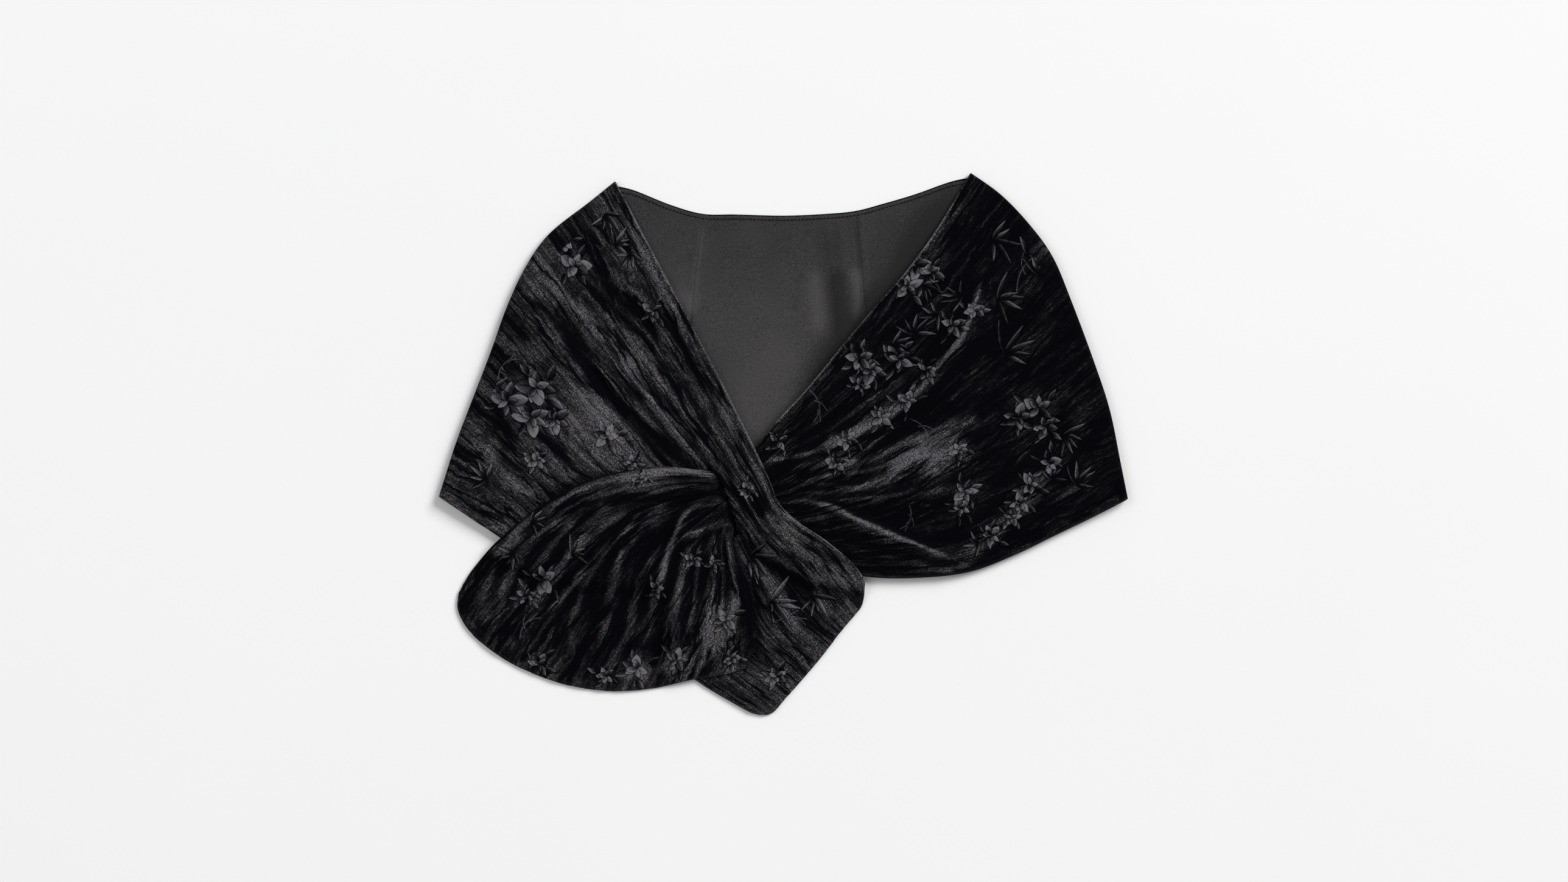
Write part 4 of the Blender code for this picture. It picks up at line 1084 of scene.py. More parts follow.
@dataclass(frozen=True)
class VelvetFinish:
    """Looks of the crushed velvet, as linear colours and sizes in metres.

    Attributes:
        dark: Colour where the pile lies away from the light.
        cool: One colour where it catches the light. The other is warm, in soft clouds.
        glint: Colour of the brightest specks, which are painted glints.
        sheen: Strength, roughness and tint of the sheen.
        pinch: Dark lines where the pile is pinched, which are broken at each gap.
        bend: Cells along and across, and the depth, of the streaks' slow bend.
        jitter: Scale and depth of their quick one.
        cloud: Scale, detail and roughness of the clouds.
        grain: Size of the specks, in patches as wide as the spots.
        spark: The least share of light that the specks throw back, and what they add.
        patch: What the sparkling patches start from, and what they add.
        lit: Tones between which the pile goes from dark to lit.
        drawn: The share of streaks and sparkle that the drawn plants do without.
        hem_wear: Width of the worn hem, which is lighter by the wear.
        rough: Roughness of the dark pile, and what light takes off it.
        relief: Depth and strength of the pile's relief.
    """

    dark: Colour = (0.0010, 0.0010, 0.0021, 1.0)
    cool: Colour = (0.145, 0.142, 0.160, 1.0)
    warm: Colour = (0.152, 0.144, 0.150, 1.0)
    glint: Colour = (0.200, 0.182, 0.162, 1.0)
    sheen: tuple[float, float, Colour] = (0.035, 0.3, (0.75, 0.79, 0.9, 1.0))
    specular: float = 0.03
    bundle: Streak = Streak(12.0, 0.011, 3.0, 0.12)
    crease: Streak = Streak(24.0, 0.0034, 5.0, 0.14, detail=3.0)
    hair: Streak = Streak(95.0, 0.0015, 7.0, 0.58, roughness=0.7)
    pinch: Streak = Streak(11.0, 0.013, 9.0, 0.34)
    gap: Streak = Streak(24.0, 0.013, 11.0, detail=1.0, roughness=0.5, scale=0.8)
    bend: tuple[float, float, float] = (16.0, 30.0, 0.016)
    jitter: tuple[float, float] = (150.0, 0.0035)
    cloud: tuple[float, float, float] = (42.0, 3.0, 0.65)
    cloud_tone: float = 0.4
    cloud_crease: float = 0.5
    grain: float = 0.00062
    spots: float = 0.0020
    spark: Span = (0.05, 2.6)
    patch: Span = (0.6, 0.7)
    lit: Span = (0.1, 1.05)
    drawn: float = 0.72
    hem_wear: float = 0.006
    wear: float = 0.05
    glint_share: float = 0.75
    rough: Span = (0.85, 0.25)
    relief: tuple[float, float] = (0.0012, 0.7)
    CREASE_EDGES = (0.34, 0.66)
    PINCH_EDGES = (0.0, 0.07)
    GAP_EDGES = (0.4, 0.58)
    GRAIN_EDGES = (0.42, 0.65)
    PATCH_EDGES = (0.36, 0.66)
    CLOUD_EDGES = (0.42, 0.62)
    GLINT_EDGES = (0.58, 0.7)
    GLINT_LIT = (0.1, 0.8)
    GLINT_GRAIN = 0.7
    GRAIN_DETAIL = (1.0, 0.7)
    SPOT_DETAIL = (1.0, 0.6)
    CREASE_HEIGHT = 0.6
    PINCH_DEPTH = 0.3
    GRAIN_HEIGHT = 0.4

    def build(self) -> Material:
        """Makes the material.

        Returns:
            The material, which reads the attributes pile, drawn and hem.
        """
        graph = Graph("crushed_velvet")
        # The pile's tone carries painted light and painted shade as well as the pile's own lighter and
        # darker places.
        along, across, tone = graph.split(graph.attribute("pile").outputs["Vector"])
        free = 1.0 - self.drawn * Value(graph, graph.attribute("drawn").outputs["Fac"])
        hem = Value(graph, graph.attribute("hem").outputs["Fac"])
        place = graph.node("ShaderNodeTexCoord").outputs["Object"]

        run, width, depth = self.bend
        wander = graph.noise(graph.join(along * run, across * width, 0.0), 1.0, 1.0) - 0.5
        jitter = graph.noise(place, self.jitter[0], 1.0) - 0.5
        bent = across + wander * depth + jitter * self.jitter[1]
        bundle = self.bundle.noise(graph, along, bent) - 0.5
        crease = self.crease.noise(graph, along, bent).smooth(*self.CREASE_EDGES) - 0.5
        hair = self.hair.noise(graph, along, bent) - 0.5
        line = self.pinch.noise(graph, along, bent) - 0.5
        broken = self.gap.noise(graph, along, bent)
        pinch = (1.0 - abs(line).smooth(*self.PINCH_EDGES)) * broken.smooth(*self.GAP_EDGES)
        cloud = graph.noise(place, *self.cloud) - 0.5
        grain = graph.noise(place, 1.0 / self.grain, *self.GRAIN_DETAIL)
        spots = graph.noise(place, 1.0 / self.spots, *self.SPOT_DETAIL)

        level = bundle * self.bundle.tone + crease * (self.crease.tone + cloud * self.cloud_crease)
        level = level + hair * self.hair.tone + cloud * self.cloud_tone - pinch * self.pinch.tone
        lit = (tone + level * free).smooth(*self.lit)
        patch = self.patch[0] + spots.smooth(*self.PATCH_EDGES) * self.patch[1]
        spark = self.spark[0] + grain.smooth(*self.GRAIN_EDGES) * self.spark[1] * patch
        worn = (0.5 - hem / self.hem_wear).smooth(0.0, 0.5) * self.wear
        share = lit * lit * (spark * free + (1.0 - free)) + worn
        shade = graph.colour((cloud + 0.5).smooth(*self.CLOUD_EDGES), self.cool, self.warm)
        # Painted glints: bright specks put into the base colour where the pile is lit.
        speck = (grain * self.GLINT_GRAIN + spots * (1.0 - self.GLINT_GRAIN)).smooth(*self.GLINT_EDGES)
        glint = speck * lit.smooth(*self.GLINT_LIT) * free
        pile = graph.colour(share, self.dark, shade)
        height = crease * self.CREASE_HEIGHT + hair + bundle
        height = height - pinch * self.PINCH_DEPTH + grain * self.GRAIN_HEIGHT
        sheen, sheen_roughness, tint = self.sheen
        graph.feed(graph.shader, {
            "Base Color": graph.colour(glint * self.glint_share, pile, self.glint),
            "Roughness": self.rough[0] - lit * self.rough[1],
            "Normal": graph.bump(height, *self.relief),
            "Specular IOR Level": self.specular,
            "Sheen Weight": sheen,
            "Sheen Roughness": sheen_roughness,
            "Sheen Tint": tint,
        })
        return graph.material


@dataclass(frozen=True)
class LiningFinish:
    """Looks of the matt crepe lining.

    Attributes:
        thread: Width of a thread, in metres.
        twist: How far threads stray, in metres.
        mottle: Size of its soft blotches, in metres.
        grain_tone: How much grain, blotches and weave change the tone.
        sheen: Strength and roughness of the sheen.
        rough: Greatest roughness, and what the grain takes off it.
        relief: Depth and strength of the weave's relief.
    """

    base: Colour = (0.0065, 0.0061, 0.0064, 1.0)
    pale: Colour = (0.0580, 0.0543, 0.0550, 1.0)
    thread: float = 0.0007
    twist: float = 0.0012
    mottle: float = 0.045
    grain_tone: tuple[float, float, float] = (2.2, 0.3, 0.12)
    specular: float = 0.25
    sheen: tuple[float, float] = (0.15, 0.5)
    rough: Span = (0.9, 0.12)
    relief: tuple[float, float] = (0.0003, 0.5)
    STRAY_SHARE = 0.35
    STRAY_DETAIL = (2.0, 0.6)
    GRAIN_DETAIL = (3.0, 0.7)
    WEAVE_HEIGHT = 0.3

    def build(self) -> Material:
        """Makes the material.

        Returns:
            The material, which reads the attribute pile.
        """
        graph = Graph("crepe_lining")
        place = graph.node("ShaderNodeTexCoord").outputs["Object"]
        x, y, _ = graph.split(place)
        # The tone attribute holds the lining's painted light and painted shade.
        tone = graph.split(graph.attribute("pile").outputs["Vector"])[2]
        stray = graph.noise(place, self.STRAY_SHARE / self.thread, *self.STRAY_DETAIL) * self.twist
        turns = 2.0 * math.pi / self.thread
        weave = graph.math("SINE", (x + stray) * turns) * graph.math("SINE", (y + stray) * turns)
        grain = graph.noise(place, 1.0 / self.thread, *self.GRAIN_DETAIL)
        mottle = graph.noise(place, 1.0 / self.mottle)
        of_grain, of_mottle, of_weave = self.grain_tone
        share = tone + (grain - 0.5) * of_grain + (mottle - 0.5) * of_mottle + weave * of_weave
        graph.feed(graph.shader, {
            "Base Color": graph.colour(share.smooth(0.0, 1.0), self.base, self.pale),
            "Roughness": self.rough[0] - grain * self.rough[1],
            "Normal": graph.bump(weave * self.WEAVE_HEIGHT + grain, *self.relief),
            "Specular IOR Level": self.specular,
            "Sheen Weight": self.sheen[0],
            "Sheen Roughness": self.sheen[1],
        })
        return graph.material


@dataclass(frozen=True)
class FloorFinish:
    """Looks of the pale floor."""

    base: Colour = (0.86, 0.86, 0.865, 1.0)
    cloudy: Colour = (0.84, 0.84, 0.845, 1.0)
    cloud_scale: float = 3.0
    rough: float = 0.9
    specular: float = 0.1

    def build(self) -> Material:
        """Makes the material.

        Returns:
            The material.
        """
        graph = Graph("pale_floor")
        cloud = graph.noise(graph.node("ShaderNodeTexCoord").outputs["Object"], self.cloud_scale)
        graph.feed(graph.shader, {
            "Base Color": graph.colour(cloud, self.base, self.cloudy),
            "Roughness": self.rough,
            "Specular IOR Level": self.specular,
        })
        return graph.material


@dataclass
class Shell:
    """A closed wall of cloth under construction: two faces in step and a rounded rim.

    Attributes:
        parts: The grids added.
        faces: Quads of the top face.
        plain: Numbers of points whose rim stays flat, at seams.
    """

    parts: list[Cloth] = field(default_factory=list)
    faces: list[Array] = field(default_factory=list)
    plain: set[int] = field(default_factory=set)
    RIM_TURNS = (0.25, 0.5, 0.75)
    RIM_BULGE = 0.5

    def add(self, cloth: Cloth) -> Array:
        """Adds a grid of points.

        Args:
            cloth: The grid.

        Returns:
            The points' numbers, as a grid.
        """
        first = sum(part.hem.size for part in self.parts)
        self.parts.append(cloth)
        return first + np.arange(cloth.hem.size).reshape(cloth.hem.shape)

    def skin(self, numbers: Array) -> None:
        """Covers a grid of points with quads, its columns running to the right of its rows."""
        self.faces.append(grid_faces(numbers))

    def rim(self, top: Array, upper: Array, lower: Array) -> tuple[list, list, list]:
        """The rounded rim between the two faces.

        Args:
            top: Quads of the top face.
            upper: Points of the top face.
            lower: Points of the underside.

        Returns:
            The rim's own points, the top face's points that they belong to, and its quads.
        """
        count = len(upper)
        edges = {(int(a), int(b)) for quad in top for a, b in zip(quad, np.roll(quad, -1))}
        free = sorted((a, b) for a, b in edges if (b, a) not in edges)
        outward = {}
        for a, b in free:
            way = upper[b, :2] - upper[a, :2]
            for end in (a, b):
                outward[end] = outward.get(end, np.zeros(2)) + np.array([way[1], -way[0]])
        points, owners, place = [], [], {}
        for end, way in outward.items():
            way = way / max(np.linalg.norm(way), 1e-9)
            middle, half = (upper[end] + lower[end]) / 2.0, (upper[end] - lower[end]) / 2.0
            bulge = 0.0 if end in self.plain else self.RIM_BULGE * np.linalg.norm(half)
            place[end] = [end]
            for turn in self.RIM_TURNS:
                place[end].append(2 * count + len(points))
                out = np.array([*(way * bulge * math.sin(turn * math.pi)), 0.0])
                points.append(middle + half * math.cos(turn * math.pi) + out)
                owners.append(end)
            place[end].append(end + count)
        quads = [(place[b][k], place[a][k], place[a][k + 1], place[b][k + 1])
                 for a, b in free for k in range(len(self.RIM_TURNS) + 1)]
        return points, owners, quads

    def build(self, name: str, material: Material) -> bpy.types.Object:
        """Makes the object.

        Args:
            name: The piece's name.
            material: Its material.

        Returns:
            The object, with the attributes pile and hem.
        """
        upper, lower, pile = (
            np.concatenate([getattr(part, name).reshape(-1, 3) for part in self.parts])
            for name in ("upper", "lower", "pile")
        )
        hem = np.concatenate([part.hem.ravel() for part in self.parts])
        top = np.concatenate(self.faces)
        points, owners, quads = self.rim(top, upper, lower)
        under = top[:, ::-1] + len(upper)
        faces = np.concatenate([top, under, np.array(quads)])
        points = np.concatenate([upper, lower, np.array(points)])
        pile = np.concatenate([pile, pile, pile[owners]])
        hem = np.concatenate([hem, hem, hem[owners]])
        used, faces = np.unique(faces, return_inverse=True)
        return make_object(name, points[used], faces.reshape(-1, 4), material,
                           {"pile": pile[used], "hem": hem[used]})


def make_object(name: str, points: Array, faces: Array, material: Material,
                values: dict[str, Array]) -> bpy.types.Object:
    """Makes one piece that rides on the part's only body.

    Args:
        name: The piece's name.
        points: Its points in millimetres.
        faces: Its quads.
        material: Its material.
        values: Attributes of the points, by name.

    Returns:
        The object.
    """
    mesh = bpy.data.meshes.new(name)
    mesh.from_pydata((points * MM).tolist(), [], faces.tolist())
    mesh.shade_smooth()
    mesh.materials.append(material)
    for key, data in values.items():
        kind, field_name = ("FLOAT_VECTOR", "vector") if data.ndim == 2 else ("FLOAT", "value")
        mesh.attributes.new(key, kind, "POINT").data.foreach_set(field_name, data.ravel())
    piece = bpy.data.objects.new(name, mesh)
    bpy.context.scene.collection.objects.link(piece)
    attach(piece, "root")
    LOG.info("%s: %d points, %d faces", name, len(points), len(faces))
    return piece


@dataclass
class Petal:
    """One petal or leaf of the pattern, as a small grid in its own plane.

    Attributes:
        length: From its foot to its tip.
        width: Across its widest place.
        blunt: 0 for a pointed tip, 1 for a round one.
        notch: How deep its tip is notched.
        fill: How light it is.
        bend: How far its tip swings sideways, as a share of its length.
    """

    length: float
    width: float
    blunt: float = 0.0
    notch: float = 0.0
    fill: float = 0.62
    bend: float = 0.0
    STEPS = (0.0, 0.08, 0.2, 0.35, 0.5, 0.65, 0.8, 0.9, 0.97, 1.0, 1.0)
    SIDES = (-1.0, -1.0, -0.6, -0.2, 0.0, 0.2, 0.6, 1.0, 1.0)
    RIM = 0.75
    PEAK = (0.75, 0.55)
    FULLNESS = (0.9, 0.45)
    TIPS = (0.015, 0.985)
    NOTCH_POWER = 6
    OUTLINE = 0.08
    VEIN = 0.24
    VEIN_WIDTH = 0.12
    LIT_SIDE = 0.2
    FOOT_AND_TIP = (0.5, 0.55)

    def grid(self) -> tuple[Array, Array]:
        """The petal's points and the tone of its pile.

        Returns:
            Points along X from the foot, and a tone for each.
        """
        along, side = np.meshgrid(self.STEPS, self.SIDES, indexing="ij")
        past, rim = np.zeros((len(self.STEPS), 1)), np.zeros((1, len(self.SIDES)))
        past[-1], rim[0, 0], rim[0, -1] = self.RIM, -self.RIM, self.RIM
        peak = self.PEAK[0] + self.PEAK[1] * self.blunt
        fullness = self.FULLNESS[0] - self.FULLNESS[1] * self.blunt
        swell = np.sin(np.pi * np.clip(along, *self.TIPS) ** peak) ** fullness
        dip = self.notch * np.clip(1.0 - np.abs(side), 0.0, 1.0) * along**self.NOTCH_POWER
        swing = self.bend * self.length * along**2
        points = np.dstack([self.length * along - dip + past,
                            0.5 * self.width * swell * side + rim + swing])
        vein = self.VEIN * np.exp(-((side / self.VEIN_WIDTH) ** 2)) * (1.0 - along**3)
        foot, tip = self.FOOT_AND_TIP
        # Painted light: a petal is lighter on one side, as if lit from there; it also grows lighter from its
        # foot to its tip, and its vein is darker.
        tone = self.fill * (foot + tip * along) + self.LIT_SIDE * side - vein
        return points, np.where((np.abs(rim) > 0) | (past > 0), self.OUTLINE, tone)


class Pattern:
    """The tone-on-tone plants of one panel, draped just above its pile.

    Lengths and widths are shares of a plant's size or of a leaf's length, and the pairs are the
    lowest and highest of what is drawn by lot.
    """

    LIFT = 0.2
    LAYER = 0.035
    GROUND_SHARE = 0.45
    GROUND_LEVEL = 0.4
    LEAF_FILL = (0.5, 0.84)
    LEAF_BEND = (-0.16, 0.16)
    LEAVES = 4
    LEAF_TURN = (-25, 25)
    LEAF_FIRST = 30.0
    LEAF_REACH = (0.35, 0.85)
    LEAF_LENGTH = (0.55, 0.9)
    LEAF_TWIST = (-30, 30)
    LEAF_WIDTH = 0.44
    PETALS = 5
    INNER_PETALS = 3
    INNER_SHARE = 0.6
    PETAL_TURN = (-24, 24)
    PETAL_LENGTH = (0.66, 1.04)
    PETAL_WIDTH = (0.42, 0.7)
    PETAL_BLUNT = (0.1, 0.5)
    PETAL_FILL = (0.46, 1.12)
    PETAL_BEND = (-0.14, 0.14)
    PETAL_NOTCH = 0.06
    BAMBOO_TURNS = (-74, -36, -8, 24, 62)
    BAMBOO_LENGTH = (0.65, 1.05)
    BAMBOO_TWIST = (-9, 9)
    BAMBOO_WIDTH = (1.3, 0.11)
    SHOOTS = ((0.0, 0.0, 1.0), (0.35, 34.0, 0.5), (0.62, -38.0, 0.42))
    STEM_STEPS = 14
    STEM_SIDES = (-2.2, -1.0, 0.0, 1.0, 2.2)
    STEM_RIM = 1.5
    STEM_BEND = (0.1, 1.3)
    STEM_WIDTH = 0.45
    STEM_TAPER = (1.15, 0.5)
    STEM_FILL = 0.62

    def __init__(self, surface: Surface, seed: int) -> None:
        """Starts an empty pattern.

        Args:
            surface: The top face of its panel.
            seed: What its lots are drawn from.
        """
        self.surface = surface
        self.random = np.random.default_rng(seed)
        self.layers = 0
        self.points: list[list[float]] = []
        self.pile: list[Array] = []
        self.faces: list[list[int]] = []

    def put(self, grid: Array, tone: Array, x: float, y: float, turn: float) -> None:
        """Drapes a flat grid over the panel, without what falls past its edge.

        Args:
            grid: Points about the origin.
            tone: The pile's tone at those points.
            x: Where the origin goes.
            y: Where the origin goes.
            turn: How far it is turned, in degrees.
        """
        angle = math.radians(turn)
        across = grid[..., 0] * math.cos(angle) - grid[..., 1] * math.sin(angle) + x
        up = grid[..., 0] * math.sin(angle) + grid[..., 1] * math.cos(angle) + y
        numbers = np.full(across.shape, -1)
        for at in np.ndindex(across.shape):
            spot, face = self.surface.under(across[at], up[at])
            if spot is not None:
                numbers[at] = len(self.points)
                pile = self.surface.pile_at(spot, face)
                # A plant takes on part of the tone of the cloth under it, with the painted light and painted
                # shade there.
                pile[2] = tone[at] + self.GROUND_SHARE * (pile[2] - self.GROUND_LEVEL)
                self.points.append([across[at], up[at], spot.z + self.LIFT + self.LAYER * self.layers])
                self.pile.append(pile)
        self.layers += 1
        self.faces.extend(quad.tolist() for quad in grid_faces(numbers) if (quad >= 0).all())

    def draw(self, span: Span) -> float:
        """A number between two others, by lot."""
        return self.random.uniform(*span)

    def leaf(self, x: float, y: float, turn: float, length: float, width: float) -> None:
        """One slender leaf."""
        fill, bend = self.draw(self.LEAF_FILL), self.draw(self.LEAF_BEND)
        self.put(*Petal(length, width, fill=fill, bend=bend).grid(), x, y, turn)

    def blossom(self, spray: Spray) -> None:
        """A flower of five petals round three smaller ones, with pointed leaves behind it.

        Args:
            spray: Its place and size.
        """
        for number in range(self.LEAVES):
            turn = spray.turn + self.LEAF_FIRST + number * 360.0 / self.LEAVES + self.draw(self.LEAF_TURN)
            reach = self.draw(self.LEAF_REACH) * spray.size
            x = spray.x + reach * math.cos(math.radians(turn))
            y = spray.y + reach * math.sin(math.radians(turn))
            length = spray.size * self.draw(self.LEAF_LENGTH)
            self.leaf(x, y, turn + self.draw(self.LEAF_TWIST), length, self.LEAF_WIDTH * length)
        for number in range(self.PETALS + self.INNER_PETALS):
            inner = number >= self.PETALS
            turn = spray.turn + number * 360.0 / (self.INNER_PETALS if inner else self.PETALS)
            turn += self.draw(self.PETAL_TURN)
            length = spray.size * self.draw(self.PETAL_LENGTH) * (self.INNER_SHARE if inner else 1.0)
            width = length * self.draw(self.PETAL_WIDTH)
            blunt, fill = self.draw(self.PETAL_BLUNT), self.draw(self.PETAL_FILL)
            notch, bend = self.PETAL_NOTCH * length, self.draw(self.PETAL_BEND)
            self.put(*Petal(length, width, blunt, notch, fill, bend).grid(), spray.x, spray.y, turn)

    def bamboo(self, spray: Spray) -> None:
        """A node with a fan of slender leaves.

        Args:
            spray: Its place and size.
        """
        least, share = self.BAMBOO_WIDTH
        for way in self.BAMBOO_TURNS:
            size = spray.size * self.draw(self.BAMBOO_LENGTH)
            turn = spray.turn + way + self.draw(self.BAMBOO_TWIST)
            self.leaf(spray.x, spray.y, turn, size, least + share * size)

    def twig(self, spray: Spray) -> None:
        """A thin bent stem with two side shoots.

        Args:
            spray: Its place and size.
        """
        angle = math.radians(spray.turn)
        steps = np.linspace(0, 1, self.STEM_STEPS)
        along, side = np.meshgrid(steps, self.STEM_SIDES, indexing="ij")
        taper = self.STEM_TAPER[0] - self.STEM_TAPER[1] * along
        tone = np.where(np.abs(side) > self.STEM_RIM, Petal.OUTLINE, self.STEM_FILL)
        depth, waves = self.STEM_BEND
        for start, turn, share in self.SHOOTS:
            length = spray.size * share
            bend = depth * length * np.sin(np.pi * waves * along)
            grid = np.dstack([along * length, bend + self.STEM_WIDTH * side * taper])
            x = spray.x + spray.size * start * math.cos(angle)
            y = spray.y + spray.size * start * math.sin(angle)
            self.put(grid, tone, x, y, spray.turn + turn)

    def build(self, name: str, sprays: Iterable[Spray], material: Material) -> bpy.types.Object:
        """Draws all the plants and makes one piece of them.

        Args:
            name: The piece's name.
            sprays: The plants.
            material: The cloth's own material.

        Returns:
            The object.
        """
        grow = {BLOSSOM: self.blossom, BAMBOO: self.bamboo, TWIG: self.twig}
        for spray in sprays:
            self.layers = 0
            grow[spray.kind](spray)
        count = len(self.points)
        values = {"pile": np.array(self.pile), "drawn": np.ones(count), "hem": np.ones(count)}
        piece = make_object(name, np.array(self.points), np.array(self.faces), material, values)
        return piece


@dataclass(frozen=True)
class Cut:
    """The flat size that a panel was cut to, in metres and square metres."""

    width: float
    length: float
    area: float
    hold: Hold

    def declare(self, piece: bpy.types.Object, node: str, slot: str, rests_on: Sequence[str],
                on_it: Sequence[bpy.types.Object] = ()) -> None:
        """Hides the imported solid that a piece takes the place of.

        Args:
            piece: The piece. Not used.
            node: The solid that it replaces.
            slot: Its material slot. Not used.
            rests_on: What it lies on. Not used.
            on_it: Separate pieces that lie on it. Not used.
        """
        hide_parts(node)


@dataclass
class Back:
    """The back: a velvet face on the floor and a lining in three panels on top of it.

    Attributes:
        left: The strip of the left front, whose lip lies beside the back.
        right: The strip of the right front.
        lining_inset: How far the lining is taken in at its edges, in millimetres.
        lining_tone: Its tone where nothing shades or lights it.
        pucker: Height of the pucker beside a seam, its distance from the seam and its width.
        stitch_size: Length, width and height of a stitch of the neck edge.
        stitch_inset: How far the stitches lie from that edge.
    """

    left: Strip
    right: Strip
    velvet_cut: Cut = Cut(0.56, 0.325, 0.1413, Hold.LAID)
    lining_cuts: tuple[Cut, ...] = (
        Cut(0.213, 0.315, 0.0450, Hold.LAID),
        Cut(0.176, 0.295, 0.0446, Hold.LAID),
        Cut(0.220, 0.322, 0.0501, Hold.LAID),
    )
    rows: int = 110
    columns: int = 150
    lining_inset: float = 1.2
    lining_tone: float = 0.33
    pucker: tuple[float, float, float] = (0.5, 3.0, 2.0)
    stitch_pitch: float = 3.1
    stitch_size: tuple[float, float, float] = (2.1, 0.6, 0.2)
    stitch_inset: float = 2.4
    PANELS = ("left", "centre", "right")
    STITCH_SECTION = ((-0.5, 0.0), (-0.3, 1.0), (0.3, 1.0), (0.5, 0.0))
    THREAD_TONE = 0.1

    def edges(self, inset: float) -> tuple[Array, ...]:
        """The four edges, taken in by an inset.

        Args:
            inset: How far they are taken in.

        Returns:
            The left and right edges from neck to hem, then the neck edge and the hem.
        """
        across = np.linspace(0.0, 1.0, self.rows)
        start = back_side(self.left, across, inset)
        end = back_side(self.right, across, inset)
        shares = np.linspace(0.0, 1.0, 3 * self.columns)
        neck = curve_by_length([tuple(start[0]), *BACK_NECK, tuple(end[0])], shares) - [0.0, inset]
        hem = curve_by_length([tuple(start[-1]), *BACK_HEM, tuple(end[-1])], shares) + [0.0, inset]
        return start, end, neck, hem

    def seam(self, points: Sequence[tuple[float, float]], shift: float, neck: Array, hem: Array) -> Array:
        """A seam from the neck edge to the hem.

        Args:
            points: Its stops.
            shift: How far it is moved sideways.
            neck: The neck edge.
            hem: The hem.

        Returns:
            Its points.
        """
        line = curve_by_length(points, np.linspace(0.0, 1.0, self.rows)) + [shift, 0.0]
        line[0, 1] = np.interp(line[0, 0], *neck.T)
        line[-1, 1] = np.interp(line[-1, 0], *hem.T)
        return line

    @staticmethod
    def fill(start: Array, end: Array, neck: Array, hem: Array, columns: int) -> Array:
        """A grid between two side lines, the neck edge and the hem.

        Args:
            start: The side line that the columns start from.
            end: The side line that they end at.
            neck: The neck edge.
            hem: The hem.
            columns: How many columns the grid has.

        Returns:
            The grid on the plan, rows from neck to hem.
        """
        u = np.linspace(0.0, 1.0, columns)[None, :, None]
        v = np.linspace(0.0, 1.0, len(start))[:, None, None]
        top, bottom = (
            np.column_stack([line, np.interp(line, *edge.T)])[None]
            for edge, line in ((neck, np.linspace(start[0, 0], end[0, 0], columns)),
                               (hem, np.linspace(start[-1, 0], end[-1, 0], columns)))
        )
        sides = start[:, None] * (1 - u) + end[:, None] * u
        edges = top * (1 - v) + bottom * v
        ends = (start[row] * (1 - u) + end[row] * u for row in (0, -1))
        corners = next(ends) * (1 - v) + next(ends) * v
        return sides + edges - corners

    def panel(self, name: str, spots: Array, tops: Array, lows: Array,
              material: Material) -> bpy.types.Object:
        """Makes one panel.

        Args:
            name: Its name.
            spots: Its grid on the plan, rows from neck to hem.
            tops: Heights of its top face.
            lows: Heights of its underside.
            material: Its material.

        Returns:
            The object.
        """
        # Painted light and painted shade on the panel: a lit middle, painted shadow and painted shade along
        # its folds and seams.
        tone = self.lining_tone + relief_of(LINING_PAINTED_LIGHT_AND_SHADE, spots) + tone_of(LINING_PAINTED_LIGHT_PATCHES, spots)
        pile = np.dstack([spots[..., 1] * MM, spots[..., 0] * MM, tone])
        cloth = Cloth(np.dstack([spots, tops]), np.dstack([spots, lows]), pile, to_end(spots, 0) * MM)
        shell = Shell()
        shell.skin(shell.add(cloth)[:, ::-1])
        return shell.build(name, material)

    def build(self, velvet: Material, lining: Material) -> Surface:
        """Makes all of the back.

        Args:
            velvet: The velvet.
            lining: The lining cloth.

        Returns:
            The level top of the lining, for the fronts to lie on.
        """
        start, end, neck, hem = self.edges(0.0)
        spots = self.fill(start, end, neck, hem, self.columns)
        level = np.zeros(spots.shape[:2])
        piece = self.panel("velvet_back", spots, level + BACK_VELVET_WALL, level, velvet)
        self.velvet_cut.declare(piece, "back_velvet", "velvet", ["floor"])

        start, end, neck, hem = self.edges(self.lining_inset)
        lines = [start]
        for points in LINING_SEAMS:
            lines.extend(self.seam(points, side * SEAM_GAP / 2.0, neck, hem) for side in (-1, 1))
        lines.append(end)
        rise, place, width = self.pucker
        for name, cut, first, last in zip(self.PANELS, self.lining_cuts, lines[::2], lines[1::2]):
            grid = self.fill(first, last, neck, hem, self.columns // 2)
            swell = np.maximum(relief_of(LINING_CREASES, grid), 0.0)
            sides = (grid[:, :1], grid[:, -1:])
            away = np.min([np.linalg.norm(grid - side, axis=-1) for side in sides], axis=0)
            pucker = rise * np.exp(-((away - place) / width) ** 2) * smooth_step(away, 0.0, place)
            lows = BACK_VELVET_WALL + SEAM_GAP + swell
            piece = self.panel(f"crepe_lining_{name}", grid, lows + LINING_WALL + pucker, lows, lining)
            cut.declare(piece, f"back_lining_{name}", "lining", ["velvet_back"])
        self.stitches(neck, velvet)
        return Surface(np.dstack([spots, level + BACK_TOP]))

